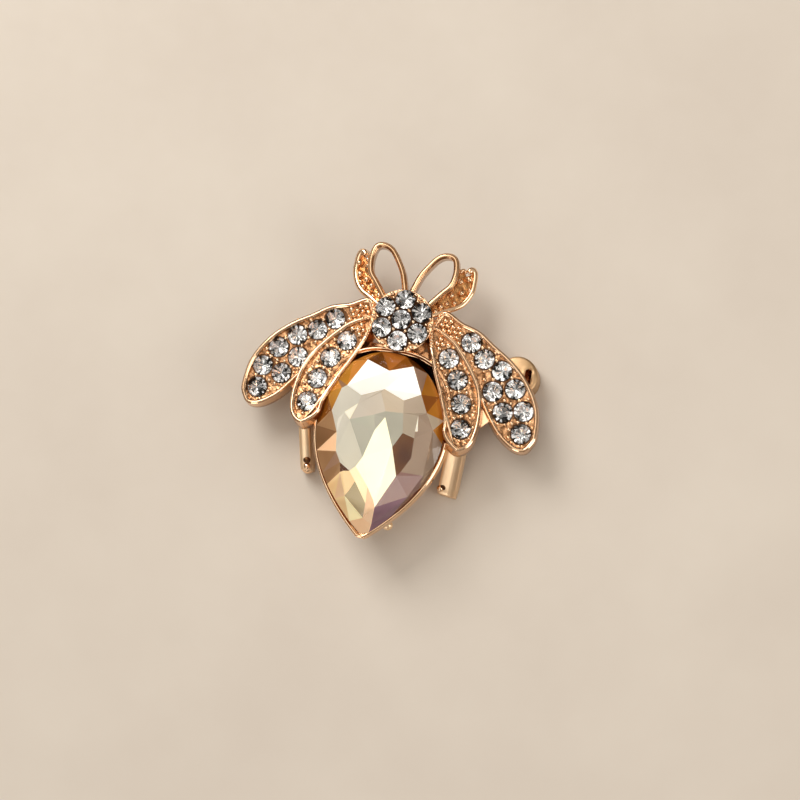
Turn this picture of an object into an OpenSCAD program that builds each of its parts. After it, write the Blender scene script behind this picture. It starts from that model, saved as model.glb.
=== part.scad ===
// Insect brooch: a one-piece gold-coloured casting set with small round stones,
// a big pear-cut stone in a deep cup as the abdomen, and a plain pin across the back.
// X points to the right wing, Y to the head and Z up. The brooch lies on Z = 0.
// All places are worked out from the centre of the thorax and moved at the end.

/* [Small stones] */
// Diameter of each small round stone
stone_d = 2.1; // [2:0.05:2.2]
// Smallest gap between two neighbouring stones
stone_gap = 0.14; // [0.1:0.02:0.3]
// Height of a small stone's crown above its girdle
stone_crown = 0.36; // [0.3:0.02:0.45]
// Depth of a small stone's pavilion below its girdle
stone_pavilion = 0.72; // [0.6:0.02:0.8]
// Thickness of a small stone's girdle
stone_girdle = 0.08; // [0.05:0.01:0.12]

/* [Pear stone] */
// Width of the pear stone at its girdle
pear_w = 12.8; // [12.4:0.1:12.8]
// Length from the head end of the pear stone to its widest line
pear_head = 8.3; // [7.9:0.1:8.7]
// Length from the widest line of the pear stone to its tip
pear_tail = 11.4; // [11:0.1:12]
// Height of the pear stone's crown above its girdle
pear_crown = 1.9; // [1.6:0.1:2.2]
// Depth of the pear stone's pavilion below its girdle
pear_pavilion = 4.1; // [3.6:0.1:4.2]
// Thickness of the pear stone's girdle
pear_girdle = 0.3; // [0.2:0.05:0.4]
// Turn of the pear stone in its cup, about its tip
pear_turn = 1.6; // [0:0.2:1.6]

/* [Heights] */
// Height of the pear stone's girdle above the surface that the brooch lies on
pear_z = 6.4; // [6.3:0.1:6.8]
// Height of the outer wings' floor where they meet the thorax
outer_z = 5.2; // [5.1:0.1:5.5]
// Height of the inner wings' floor where they meet the thorax
inner_z = 6.1; // [6:0.1:6.3]
// Height of the thorax's floor at its middle
thorax_z = 7.8; // [7.6:0.1:8.2]
// Height of the antennae's upper edge
antenna_z = 6.9; // [6.6:0.1:7.2]

/* [Metal] */
// Width of the raised rim round each wing
rim_w = 0.34; // [0.26:0.02:0.4]
// Height of the raised rim above the wing's floor
rim_h = 0.55; // [0.45:0.05:0.65]
// Gap between a stone and the rim beside it
rim_gap = 0.06; // [0.04:0.01:0.12]
// Draft of a wing's side wall, from its rim out to its underside
wing_draft = 0.16; // [0.1:0.02:0.24]
// Thickness of the outer wings below their floor
outer_t = 1.1; // [1:0.1:1.2]
// Thickness of the inner wings below their floor
inner_t = 1.3; // [1.2:0.1:1.5]
// Clearance between a stone and the metal round it
seat_gap = 0.07; // [0.05:0.01:0.1]
// Diameter of one setting grain
grain_d = 0.4; // [0.34:0.02:0.44]
// Width of the pear stone's cup inside its wall
cup_w = 13.4; // [13.4:0.1:13.6]
// Wall of the pear stone's cup
cup_wall = 0.4; // [0.3:0.05:0.5]
// Thickness of the floor of the pear stone's cup
cup_floor = 0.5; // [0.4:0.1:0.7]
// Clearance between the pear stone and its cup
cup_gap = 0.12; // [0.08:0.02:0.2]
// Width of an antenna's band
band_w = 0.52; // [0.44:0.02:0.6]
// Depth of an antenna's band
band_h = 1.3; // [1.1:0.1:1.5]
// Length from the thorax to the outer wing's first stone
outer_root = 4.2; // [4:0.1:4.4]
// Length from the thorax to the inner wing's first stone
inner_root = 3; // [2.9:0.1:3.1]

/* [Legs] */
// Width of the left hind leg
left_leg_w = 1.2; // [1:0.1:1.4]
// Width of the right hind leg
right_leg_w = 1.7; // [1.4:0.1:1.9]
// Length of a hind leg from the inner wing's last stone to its foot
leg_l = 6.6; // [6.2:0.1:7]
// Depth of a hind leg from its top face to its underside
leg_h = 2.1; // [1.8:0.1:2.4]

/* [Pin] */
// Distance of the hinge end of the pin back from the middle
hinge_reach = 12; // [11.5:0.1:12.2]
// Distance of the catch end of the pin back from the middle
catch_reach = 14.9; // [14.6:0.1:15.2]
// Width of the bar of the pin back
bar_w = 1.8; // [1.6:0.1:2]
// Thickness of the bar of the pin back
bar_t = 0.8; // [0.7:0.1:1]
// Height of the pin back, from the surface to the top of its bar
pin_h = 3.2; // [3:0.1:3.3]
// Width of the hinge block and the catch block
block_w = 4.2; // [3.8:0.1:4.4]
// Diameter of the pin stem
stem_d = 0.8; // [0.7:0.05:1]
// Diameter of the rivet posts that hold the pin back
post_d = 0.9; // [0.8:0.05:1]
// Clearance between the pin back and the casting
pin_gap = 0.1; // [0.08:0.01:0.15]

/* [Hidden] */
$fn = 32;
gold = "#d9a066";
crystal = "#dfe6ea";
champagne = "#e6cfa0";
stone_r = stone_d / 2;
pitch = stone_d + stone_gap;
thorax_r = pitch + stone_r + rim_gap;
edge = rim_gap + rim_w;
reach_r = stone_r + edge;
grain_r = grain_d / 2;
stone_lift = 0.12;
seat_r = stone_r * (1 - stone_lift / stone_pavilion) + seat_gap;
seat_depth = stone_pavilion + seat_gap;
sink = 0.3;

// Rows of stones: each row gives the direction and the length, in stone pitches, of the
// step from the stone before it.
OUTER_STEPS = [[-41, 1.01], [-24, 1.01], [-43, 1.08], [-59, 1.15], [-86, 1.07]];
OUTER_SIDE_STEPS = [[-103, 1.07], [-54, 1.12]];
INNER_STEPS = [[-58, 1.13], [-71, 1.2], [-80, 1.22]];

// Wing outlines: which stone, direction from it, and distance in stone radii with the edge.
OUTER_EDGE = [
    [0, 186, 3.1], [0, -130, 1.6], [6, 160, 1.6], [6, -150, 1.1], [7, -150, 1.15],
    [7, -92, 1.7], [5, -112, 1.3], [5, -72, 1.36], [5, -40, 1.16], [5, 0, 1.1],
    [4, 18, 1], [3, 38, 1], [2, 52, 1], [1, 63, 1.22], [0, 63, 1], [0, 124, 1.55], [0, 143, 3.1]
];
INNER_EDGE = [
    [0, 148, 1.96], [0, -136, 1.42], [1, -130, 1.75], [2, 171, 1.72], [3, 169, 1.35],
    [3, -151, 1.36], [3, -117, 1.49], [3, -87, 1.76], [3, -52, 1.45], [3, 5, 1.2],
    [2, -9, 1.5], [2, 43, 1.62], [1, 33, 1.26], [0, 45, 1.05], [0, 96, 1.53], [0, 127, 2.68]
];
// Setting grains: the two stones that they stand between, and the side of that line.
OUTER_GRAINS = [
    [0, 1, 1], [1, 2, 1], [2, 3, 1], [3, 4, 1], [4, 5, 1], [0, 1, -1], [1, 2, -1],
    [3, 4, -1], [4, 5, -1], [6, 7, -1], [5, 7, 1], [2, 6, -1]
];
INNER_GRAINS = [[0, 1, 1], [0, 1, -1], [1, 2, 1], [1, 2, -1], [2, 3, 1], [2, 3, -1]];
// Antenna and foreleg: points in stone pitches from the centre of the thorax.
ANTENNA = [
    [0.14, 1.35], [0.3, 1.9], [0.46, 2.34], [0.74, 2.81], [1.08, 3.26], [1.4, 3.46], [1.75, 3.48],
    [1.97, 3.3], [2.07, 2.85], [2.05, 2.4], [1.93, 2.03], [1.62, 1.66], [1.1, 1]
];
FORELEG = [[1.2, 0.55], [1.82, 0.93], [2.4, 1.25], [2.72, 1.58], [2.95, 2.1], [2.98, 2.6], [2.87, 3.14]];
FORELEG_FLOOR = [
    [0.9, 0.85], [1.25, 0.6], [1.82, 0.96], [2.39, 1.28], [2.7, 1.6], [2.93, 2.11], [2.96, 2.6],
    [2.85, 3], [2.58, 2.8], [2.36, 3.1], [2.2, 2.75], [2.15, 2.3], [1.9, 1.9], [1.5, 1.5]
];

function polar(r, a) = [r * cos(a), r * sin(a)];
function unit(v) = v / norm(v);
function left_of(e) = [-e.y, e.x];

// Places of stones that follow each other by the given steps.
function walk(start, steps) = [
    for (i = 0, p = start; i <= len(steps); p = i < len(steps) ? p + polar(pitch * steps[i][1], steps[i][0]) : p, i = i + 1) p
];

// A smooth curve through chosen points, with some cuts between each two.
function blend_point(a, b, c, d, t) =
    0.5 * (2 * b + (c - a) * t + (2 * a - 5 * b + 4 * c - d) * t * t + (3 * b - a - 3 * c + d) * t * t * t);
function smooth_loop(p, cuts) = [
    for (i = [0 : len(p) - 1], k = [0 : cuts - 1])
        let (n = len(p))
        blend_point(p[(i + n - 1) % n], p[i], p[(i + 1) % n], p[(i + 2) % n], k / cuts)
];
function smooth_line(p, cuts) = [
    for (i = [0 : len(p) - 2], k = [0 : cuts - 1])
        blend_point(p[max(i - 1, 0)], p[i], p[i + 1], p[min(i + 2, len(p) - 1)], k / cuts),
    p[len(p) - 1]
];

// A closed outline moved outward by a distance, all of whose points go round anticlockwise.
// Where a short side would turn over, its corner moves less.
function parallel(loop, d) = [
    for (i = [0 : len(loop) - 1])
        let (
            n = len(loop),
            before = loop[i] - loop[(i + n - 1) % n],
            after = loop[(i + 1) % n] - loop[i],
            a = left_of(unit(before)),
            b = left_of(unit(after)),
            bend = (a.x * b.y - a.y * b.x) / (1 + a * b),
            room = 0.45 * min(norm(before), norm(after)) / max(abs(bend), 0.01),
            shift = d * bend < 0 ? sign(d) * min(abs(d), room) : d
        )
        loop[i] - shift * (a + b) / (1 + a * b)
];

// The direction to the left of a line at one of its points.
function side_at(line, i) = left_of(unit(line[min(i + 1, len(line) - 1)] - line[max(i - 1, 0)]));

// Places of the stones, from the centre of the thorax.
THORAX_STONES = [[0, 0], for (k = [0 : 5]) polar(pitch, 90 - 60 * k)];
OUTER_ROW = walk(polar(thorax_r + outer_root, -5.6), OUTER_STEPS);
OUTER_SIDE = walk(OUTER_ROW[2], OUTER_SIDE_STEPS);
OUTER_STONES = [for (p = OUTER_ROW) p, OUTER_SIDE[1], OUTER_SIDE[2]];
INNER_STONES = walk(polar(thorax_r + inner_root, -28.3), INNER_STEPS);

WEB_TIP = (OUTER_STONES[7] + INNER_STONES[3]) / 2 + polar(pitch * 0.25, -100);

function edge_points(rows, stones) = [for (r = rows) stones[r[0]] + polar(reach_r * r[2], r[1])];
function turned_back(p) = [for (i = [len(p) - 1 : -1 : 0]) p[i]];
OUTER_OUTLINE = smooth_loop(edge_points(OUTER_EDGE, OUTER_STONES), 2);
INNER_OUTLINE = smooth_loop(edge_points(INNER_EDGE, INNER_STONES), 2);

// The pear's outline about its own widest line: a round head and a parabola to the tip.
pear_steps = 12;
head_fullness = 2.1;
cup_fullness = 2.7;
tip_blunt = 0.985;
function head_point(a, w, l, full) =
    [w / 2 * sign(cos(a)) * pow(abs(cos(a)), 2 / full), l * pow(sin(a), 2 / full)];
function tail_point(s, w, l) = [w / 2 * (1 - s * s), -l * s];
function pear_outline(w, full) = [
    for (k = [0 : pear_steps]) head_point(180 * k / pear_steps, w, pear_head, full),
    for (k = [1 : pear_steps]) let (p = tail_point(tip_blunt * k / pear_steps, w, pear_tail)) [-p.x, p.y],
    for (k = [pear_steps : -1 : 1]) tail_point(tip_blunt * k / pear_steps, w, pear_tail)
];
pear_top_gap = 0.25;
pear_y = -thorax_r + pear_top_gap - cup_wall - pear_head;
pear_tip = [0, -pear_tail];

// Tilts of the wings: the outer wings droop outward, the inner wings rise over the cup.
outer_droop = 4;
inner_droop = 7;
inner_rise = 9;
thorax_dome = 7;
ring_drop = 0.3;

// Where the whole is moved, so that its origin is under the middle of it.
ANTENNA_LINE = smooth_line([for (p = ANTENNA) p * pitch], 2);
FORELEG_LINE = smooth_line([for (p = FORELEG) p * pitch], 2);
antenna_top = max([for (p = ANTENNA_LINE) p.y]) + band_w / 2;
tail_end = pear_y - pear_tail * tip_blunt - cup_gap - cup_wall;
middle_y = (antenna_top + tail_end) / 2;
pin_y = -3.2;
post_x = 8.3;
boss_r = 0.9;
head_h = 0.3;
leg_turn = 7;
foot_r = 0.68;
foreleg_w = 0.42;
foreleg_h = 1;
foreleg_drop = 1.2;
foreleg_droop = 18;
nub_r = 0.6;
nub_x = 1.35;
nub_drop = 3;
block_l = 2;
web_drop = 0.15;
base_drop = 0.25;
slot_in = 1.15;
slot_half = 0.6;
slot_r = 0.4;
slot_deep = 1.6;

module place() { translate([0, -middle_y, 0]) children(); }
module on_side(side) { if (side > 0) children(); else mirror([1, 0, 0]) children(); }
module outer_plane() {
    translate([thorax_r, 0, outer_z]) rotate([0, outer_droop, 0]) translate([-thorax_r, 0, 0]) children();
}
module inner_plane() {
    translate([thorax_r, -stone_d, inner_z]) rotate([-inner_rise, inner_droop, 0])
        translate([-thorax_r, stone_d, 0]) children();
}
module thorax_plane(k) {
    if (k == 0) translate([0, 0, thorax_z]) children();
    else
        translate([THORAX_STONES[k].x, THORAX_STONES[k].y, thorax_z - ring_drop])
            rotate([0, 0, 90 - 60 * (k - 1)]) rotate([0, thorax_dome, 0]) children();
}
module pear_place() {
    translate([0, pear_y, pear_z]) translate(pear_tip) rotate([0, 0, pear_turn]) translate(-pear_tip) children();
}

// Flat triangles across a long outline, like a ladder from its first and last points to its tip.
function ladder(n) = [
    for (i = [0 : floor(n / 2) - 1])
        each concat(
            i + 1 < n - 2 - i ? [[i, i + 1, n - 2 - i]] : [],
            i < n - 2 - i ? [[i, n - 2 - i, n - 1 - i]] : []
        )
];

// A solid stacked from one outline: each level gives its scale, its distance outward and its height.
module ring_stack(loop, levels) {
    n = len(loop);
    m = len(levels);
    points = [for (l = levels) for (p = parallel(loop, l[1])) [p.x * l[0], p.y * l[0], l[2]]];
    sides = [
        for (j = [0 : m - 2], i = [0 : n - 1])
            [j * n + i, (j + 1) * n + i, (j + 1) * n + (i + 1) % n, j * n + (i + 1) % n]
    ];
    bottom = ladder(n);
    top = [for (t = bottom) [for (k = [2, 1, 0]) (m - 1) * n + t[k]]];
    polyhedron(points, concat(bottom, sides, top), 10);
}

// A band along an open line: w wide, from z0 up to z1.
module band(line, w, z0, z1) {
    section = [[-w / 2, z0], [-w / 2, z1], [w / 2, z1], [w / 2, z0]];
    n = len(line);
    m = len(section);
    points = [
        for (i = [0 : n - 1])
            for (s = section)
                let (p = line[i] + side_at(line, i) * s[0])
                [p.x, p.y, s[1]]
    ];
    sides = [
        for (i = [0 : n - 2], k = [0 : m - 1])
            [i * m + k, i * m + (k + 1) % m, (i + 1) * m + (k + 1) % m, (i + 1) * m + k]
    ];
    polyhedron(points, [[for (k = [m - 1 : -1 : 0]) k], each sides, [for (k = [0 : m - 1]) (n - 1) * m + k]], 10);
}

module wing_body(outline, t) {
    ring_stack(outline, [
        [1, wing_draft, -t],
        [1, 0, rim_h],
        [1, -rim_w, rim_h],
        [1, -rim_w, 0]
    ]);
}

module seats(stones) {
    for (p = stones)
        translate([p.x, p.y, -seat_depth + stone_lift]) cylinder(h = seat_depth + 1, r = seat_r);
}

// A round bead with a small flat at each end.
module bead(r) {
    rotate_extrude()
        polygon([
            [0, -0.95 * r], [0.32 * r, -0.95 * r], [0.8 * r, -0.6 * r], [r, 0],
            [0.8 * r, 0.6 * r], [0.32 * r, 0.95 * r], [0, 0.95 * r]
        ]);
}

// A grain stands clear of the two stones that it holds.
module grains(rows, stones) {
    for (g = rows) {
        a = stones[g[0]];
        b = stones[g[1]];
        half = norm(b - a) / 2;
        clear = stone_r + grain_r + 0.03;
        away = sqrt(max(clear * clear - half * half, 0));
        p = (a + b) / 2 + left_of(unit(b - a)) * g[2] * away;
        translate([p.x, p.y, stone_lift]) bead(grain_r);
    }
}

module outer_wing(side) {
    on_side(side) outer_plane() {
        difference() {
            wing_body(OUTER_OUTLINE, outer_t);
            seats(OUTER_STONES);
        }
        grains(OUTER_GRAINS, OUTER_STONES);
    }
}

module inner_wing(side) {
    on_side(side) inner_plane() {
        difference() {
            wing_body(INNER_OUTLINE, inner_t);
            seats(INNER_STONES);
        }
        grains(INNER_GRAINS, INNER_STONES);
    }
}

module thorax() {
    base_z = outer_z - outer_t - base_drop;
    difference() {
        union() {
            translate([0, 0, base_z]) cylinder(h = thorax_z - ring_drop - base_z - 0.3, r = thorax_r);
            for (k = [0 : 6])
                thorax_plane(k) translate([0, 0, -2.4]) cylinder(h = 2.4, r = stone_r + rim_gap);
        }
        for (k = [0 : 6])
            thorax_plane(k) translate([0, 0, -seat_depth + stone_lift]) cylinder(h = seat_depth + 1, r = seat_r);
    }
    for (k = [0 : 5]) {
        p = polar(pitch * 1.4, 60 - 60 * k);
        translate([p.x, p.y, thorax_z - ring_drop - 1]) cylinder(h = 1.05, r = grain_r);
    }
}

module antenna(side) { on_side(side) band(ANTENNA_LINE, band_w, antenna_z - band_h, antenna_z); }

// A foreleg droops outward: a bar along its outer edge and a thinner floor inside it.
module foreleg(side) {
    on_side(side)
        translate([thorax_r, 0, antenna_z - foreleg_drop]) rotate([0, foreleg_droop, 0]) translate([-thorax_r, 0, 0]) {
            band(FORELEG_LINE, foreleg_w, -foreleg_h, 0);
            translate([0, 0, -foreleg_h * 0.92])
                linear_extrude(foreleg_h * 0.55) polygon([for (p = FORELEG_FLOOR) p * pitch]);
        }
}

// The left leg stands a little further out than the right one.
function leg_out(side) = side < 0 ? 0.5 : 0;

// A leg bends down from under the inner wing to its foot on the surface.
module hind_leg(side, w) {
    root = INNER_STONES[3];
    on_side(side)
        translate([root.x + leg_out(side), root.y, 0]) rotate([0, 0, -leg_turn]) rotate([90, 0, -90])
            translate([0, 0, -w / 2]) linear_extrude(w)
                polygon([
                    [0, inner_z], [leg_l * 0.35, inner_z - 0.9], [leg_l - 0.5, leg_h + 0.1], [leg_l, leg_h - 0.4],
                    [leg_l, 0], [leg_l - 1.1, 0], [leg_l * 0.3, inner_z - leg_h - 1.1], [0, inner_z - leg_h]
                ]);
}
module ball_foot(side) {
    root = INNER_STONES[3];
    on_side(side)
        translate([root.x + leg_out(side), root.y, 0]) rotate([0, 0, -leg_turn])
            translate([0, foot_r * 0.5 - leg_l, foot_r]) bead(foot_r);
}

// Web that joins the outer wing to the leg, in the notch between the two wings.
module wing_web(side) {
    on_side(side) outer_plane()
        translate([0, 0, -outer_t - web_drop]) linear_extrude(outer_t - web_drop)
            polygon([
                OUTER_STONES[6] + polar(stone_r + 0.25, -130),
                OUTER_STONES[6] + polar(stone_r + 0.5, -160),
                INNER_STONES[3] + polar(0.4, 120),
                INNER_STONES[3] + polar(0.6, -50),
                WEB_TIP,
                OUTER_STONES[7] + polar(stone_r + 0.25, -140)
            ]);
}

// Boss and rivet post that hold the pin back under a wing.
module rivet(side) {
    under_bar = pin_h - bar_t - pin_gap;
    translate([side * post_x, pin_y, 0]) {
        translate([0, 0, pin_h + pin_gap]) cylinder(h = outer_z - outer_t - pin_h + 0.1, r = boss_r);
        translate([0, 0, under_bar - head_h]) cylinder(h = pin_h - under_bar + head_h + pin_gap + 0.1, r = post_d / 2);
        translate([0, 0, under_bar - head_h]) cylinder(h = head_h, r = post_d / 2 + pin_gap + 0.25);
    }
}

// The cup follows the pear stone, with fuller shoulders at its head.
module cup() {
    top = pear_z + pear_girdle / 2 + 0.15;
    bottom = pear_z - pear_pavilion - cup_gap - cup_floor;
    translate([0, pear_y, 0])
        ring_stack(pear_outline(cup_w, cup_fullness), [
            [0.72, cup_gap + cup_wall, bottom],
            [1, cup_gap + cup_wall, pear_z - 1],
            [1, cup_gap + cup_wall, top],
            [1, cup_gap, top],
            [1, cup_gap, pear_z - 1],
            [0.7, cup_gap, bottom + cup_floor]
        ]);
}

// The pear stone's facets, by their direction seen from above: mains and the facets between them.
PEAR_MAINS = [90, 45, 135, 8, 172, -27, 207, -44, 224];
PEAR_LINKS = [68, 112, 25, 155, -10, 190, -37, 217];
table_share = 0.7;
big = 30;
function far(loop, a) = max([for (p = loop) p * polar(1, a)]);

// Each facet: direction, distance from the middle, height there, rise and run inward.
function crown_mains(loop) = [
    for (a = PEAR_MAINS) let (h = far(loop, a)) [a, h - 0.06, pear_girdle / 2, pear_crown, h * (1 - table_share)]
];
function pavilion_mains(loop) = [
    for (a = PEAR_MAINS) let (h = far(loop, a)) [a, h - 0.06, -pear_girdle / 2, -pear_pavilion, h]
];
function link_facets(loop) = [
    for (a = PEAR_LINKS)
        let (h = far(loop, a), run = h * (1 - table_share))
        each [
            [a, h - 0.04, pear_girdle / 2, pear_crown, run * 0.8],
            [a, h * table_share * 1.03, pear_crown, pear_crown * 0.4, run],
            [a, h - 0.04, -pear_girdle / 2, -pear_pavilion * 1.12, h]
        ]
];

// Everything outside one facet's plane.
module beyond(f) {
    up = f[3] > 0 ? 1 : -1;
    rotate([0, 0, f[0]]) translate([f[1], 0, f[2]]) rotate([0, atan2(f[3], f[4]), 0])
        translate([-big, -big, up > 0 ? 0 : -big]) cube([2 * big, 2 * big, big]);
}

// The blank cut by its facets one after another.
module cut_gem(loop, facets, grow, i) {
    if (i == 0)
        translate([0, 0, -pear_pavilion - grow])
            linear_extrude(pear_pavilion + pear_crown + 2 * grow) polygon(loop);
    else
        difference() {
            cut_gem(loop, facets, grow, i - 1);
            beyond(facets[i - 1]);
        }
}

// The pear stone about its widest line and girdle, grown by a clearance.
module pear_gem(grow, fine) {
    loop = parallel(pear_outline(pear_w, head_fullness), grow);
    facets = concat(crown_mains(loop), pavilion_mains(loop), fine ? link_facets(loop) : []);
    cut_gem(loop, facets, grow, len(facets));
}

module pear_stone() { color(champagne) place() pear_place() pear_gem(0, true); }

// A round brilliant: table, eight stars, eight kites, sixteen upper girdle facets,
// sixteen lower girdle facets and eight pavilion mains.
module round_gem() {
    table_r = stone_r * 0.56;
    mid_r = stone_r * 0.8;
    low_r = stone_r * 0.45;
    top = stone_girdle;
    mid_z = top + stone_crown * (stone_r - mid_r * cos(22.5)) / (stone_r - table_r);
    low_z = -stone_pavilion * (stone_r - low_r * cos(22.5)) / stone_r;
    points = [
        for (k = [0 : 7]) let (p = polar(table_r, 45 * k)) [p.x, p.y, top + stone_crown],
        for (k = [0 : 7]) let (p = polar(mid_r, 45 * k + 22.5)) [p.x, p.y, mid_z],
        for (k = [0 : 15]) let (p = polar(stone_r, 22.5 * k)) [p.x, p.y, top],
        for (k = [0 : 15]) let (p = polar(stone_r, 22.5 * k)) [p.x, p.y, 0],
        for (k = [0 : 7]) let (p = polar(low_r, 45 * k + 22.5)) [p.x, p.y, low_z],
        [0, 0, -stone_pavilion]
    ];
    mid = 8;
    up = 16;
    down = 32;
    low = 48;
    tip = 56;
    faces = [
        [for (k = [7 : -1 : 0]) k],
        for (k = [0 : 7]) [k, (k + 1) % 8, mid + k],
        for (k = [0 : 7]) [k, mid + k, up + 2 * k, mid + (k + 7) % 8],
        for (k = [0 : 7]) [mid + k, up + 2 * k + 1, up + 2 * k],
        for (k = [0 : 7]) [mid + k, up + (2 * k + 2) % 16, up + 2 * k + 1],
        for (k = [0 : 15]) [up + k, up + (k + 1) % 16, down + (k + 1) % 16, down + k],
        for (k = [0 : 7]) [down + 2 * k, down + 2 * k + 1, low + k],
        for (k = [0 : 7]) [down + 2 * k + 1, down + (2 * k + 2) % 16, low + k],
        for (k = [0 : 7]) [down + 2 * k, low + k, tip, low + (k + 7) % 8]
    ];
    polyhedron(points, faces, 10);
}

module small_stone() { color(crystal) translate([0, 0, stone_lift]) round_gem(); }
module outer_stone(side, k) {
    place() on_side(side) outer_plane() translate([OUTER_STONES[k].x, OUTER_STONES[k].y, 0]) small_stone();
}
module inner_stone(side, k) {
    place() on_side(side) inner_plane() translate([INNER_STONES[k].x, INNER_STONES[k].y, 0]) small_stone();
}
module thorax_stone(k) { place() thorax_plane(k) small_stone(); }

// Small round nub low on the cup, beside its tip.
module tail_nub() {
    translate([nub_x, pear_y - pear_tail * 0.83, pear_z - nub_drop]) bead(nub_r);
}

module casting() {
    color(gold) place() {
        difference() {
            union() {
                thorax();
                for (side = [-1, 1])
                    inner_wing(side);
            }
            pear_place() pear_gem(cup_gap, false);
        }
        for (side = [-1, 1]) {
            outer_wing(side);
            antenna(side);
            foreleg(side);
            wing_web(side);
            rivet(side);
        }
        cup();
        tail_nub();
        hind_leg(-1, left_leg_w);
        ball_foot(-1);
        hind_leg(1, right_leg_w);
    }
}

// The pin back is one plain piece: bar, hinge block, stem and hollow catch block.
module pin_back() {
    catch_x = catch_reach - block_w / 2;
    color(gold) place() translate([0, pin_y, 0]) {
        difference() {
            union() {
                translate([-hinge_reach, -bar_w / 2, pin_h - bar_t]) cube([hinge_reach + catch_x, bar_w, bar_t]);
                translate([catch_x, 0, 0]) cylinder(h = pin_h, r = block_w / 2);
            }
            for (side = [-1, 1])
                translate([side * post_x, 0, 0]) cylinder(h = pin_h + 1, r = post_d / 2 + pin_gap);
            for (k = [-1, 1])
                translate([catch_x + slot_in, k * slot_half, pin_h - slot_deep]) cylinder(h = slot_deep + 1, r = slot_r);
            translate([catch_x + slot_in - slot_r, -slot_half, pin_h - slot_deep])
                cube([2 * slot_r, 2 * slot_half, slot_deep + 1]);
        }
        translate([-hinge_reach, -block_w / 2, 0]) cube([block_l, block_w, pin_h]);
        translate([-hinge_reach + block_l / 2, 0, stem_d]) rotate([0, 90, 0])
            cylinder(h = hinge_reach + catch_x - block_l / 2, r = stem_d / 2);
    }
}

casting();
pear_stone();
pin_back();
for (k = [0 : 6])
    thorax_stone(k);
for (k = [0 : 7]) {
    outer_stone(-1, k);
    outer_stone(1, k);
}
for (k = [0 : 3]) {
    inner_stone(-1, k);
    inner_stone(1, k);
}
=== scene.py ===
"""Looks of the insect brooch: smooth cast skins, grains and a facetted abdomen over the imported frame."""

import math
import random

import bpy
from mathutils import Matrix, Vector
from mathutils.geometry import delaunay_2d_cdt


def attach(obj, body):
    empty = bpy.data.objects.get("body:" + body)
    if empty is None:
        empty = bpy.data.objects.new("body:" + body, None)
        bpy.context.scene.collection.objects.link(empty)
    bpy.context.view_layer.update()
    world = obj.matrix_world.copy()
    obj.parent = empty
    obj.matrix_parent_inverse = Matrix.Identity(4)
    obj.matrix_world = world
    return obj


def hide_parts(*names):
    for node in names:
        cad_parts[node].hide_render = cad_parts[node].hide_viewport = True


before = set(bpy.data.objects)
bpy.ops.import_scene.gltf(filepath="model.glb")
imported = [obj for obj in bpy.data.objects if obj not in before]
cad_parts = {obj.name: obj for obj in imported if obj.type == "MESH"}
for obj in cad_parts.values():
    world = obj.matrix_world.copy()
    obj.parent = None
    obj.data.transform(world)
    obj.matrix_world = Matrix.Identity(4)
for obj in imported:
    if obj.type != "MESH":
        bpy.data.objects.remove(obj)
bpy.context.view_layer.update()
scene = bpy.context.scene
MM = 0.001
SIDES = ((-1, "left"), (1, "right"))

# Sizes in millimetres, as in the part's source.
STONE_R = 1.05
PITCH = 2.24
RIM_GAP, RIM_W, RIM_H = 0.06, 0.34, 0.55
THORAX_R = PITCH + STONE_R + RIM_GAP
REACH_R = STONE_R + RIM_GAP + RIM_W
WING_DRAFT = 0.16
OUTER_T, INNER_T = 1.1, 1.3
OUTER_Z, INNER_Z, THORAX_Z, ANTENNA_Z = 5.2, 6.1, 7.8, 6.9
STONE_LIFT = 0.12
MIDDLE_Y = -7.7315
PEAR_W, PEAR_HEAD, PEAR_TAIL, PEAR_Z = 12.8, 8.3, 11.4, 6.4
PEAR_TURN = 1.6
CUP_W, CUP_GAP, CUP_WALL = 13.4, 0.12, 0.4
PEAR_Y = -THORAX_R + 0.25 - CUP_WALL - PEAR_HEAD
LEG_L = 6.6

OUTER_STEPS = [(-41, 1.01), (-24, 1.01), (-43, 1.08), (-59, 1.15), (-86, 1.07)]
OUTER_SIDE_STEPS = [(-103, 1.07), (-54, 1.12)]
INNER_STEPS = [(-58, 1.13), (-71, 1.2), (-80, 1.22)]
OUTER_EDGE = [
    (0, 186, 3.1), (0, -130, 1.6), (6, 160, 1.6), (6, -150, 1.1), (7, -150, 1.15),
    (7, -92, 1.7), (5, -112, 1.3), (5, -72, 1.36), (5, -40, 1.16), (5, 0, 1.1),
    (4, 18, 1), (3, 38, 1), (2, 52, 1), (1, 63, 1.22), (0, 63, 1), (0, 124, 1.55), (0, 143, 3.1),
]
INNER_EDGE = [
    (0, 148, 1.96), (0, -136, 1.42), (1, -130, 1.75), (2, 171, 1.72), (3, 169, 1.35),
    (3, -151, 1.36), (3, -117, 1.49), (3, -87, 1.76), (3, -52, 1.45), (3, 5, 1.2),
    (2, -9, 1.5), (2, 43, 1.62), (1, 33, 1.26), (0, 45, 1.05), (0, 96, 1.53), (0, 127, 2.68),
]
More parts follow.
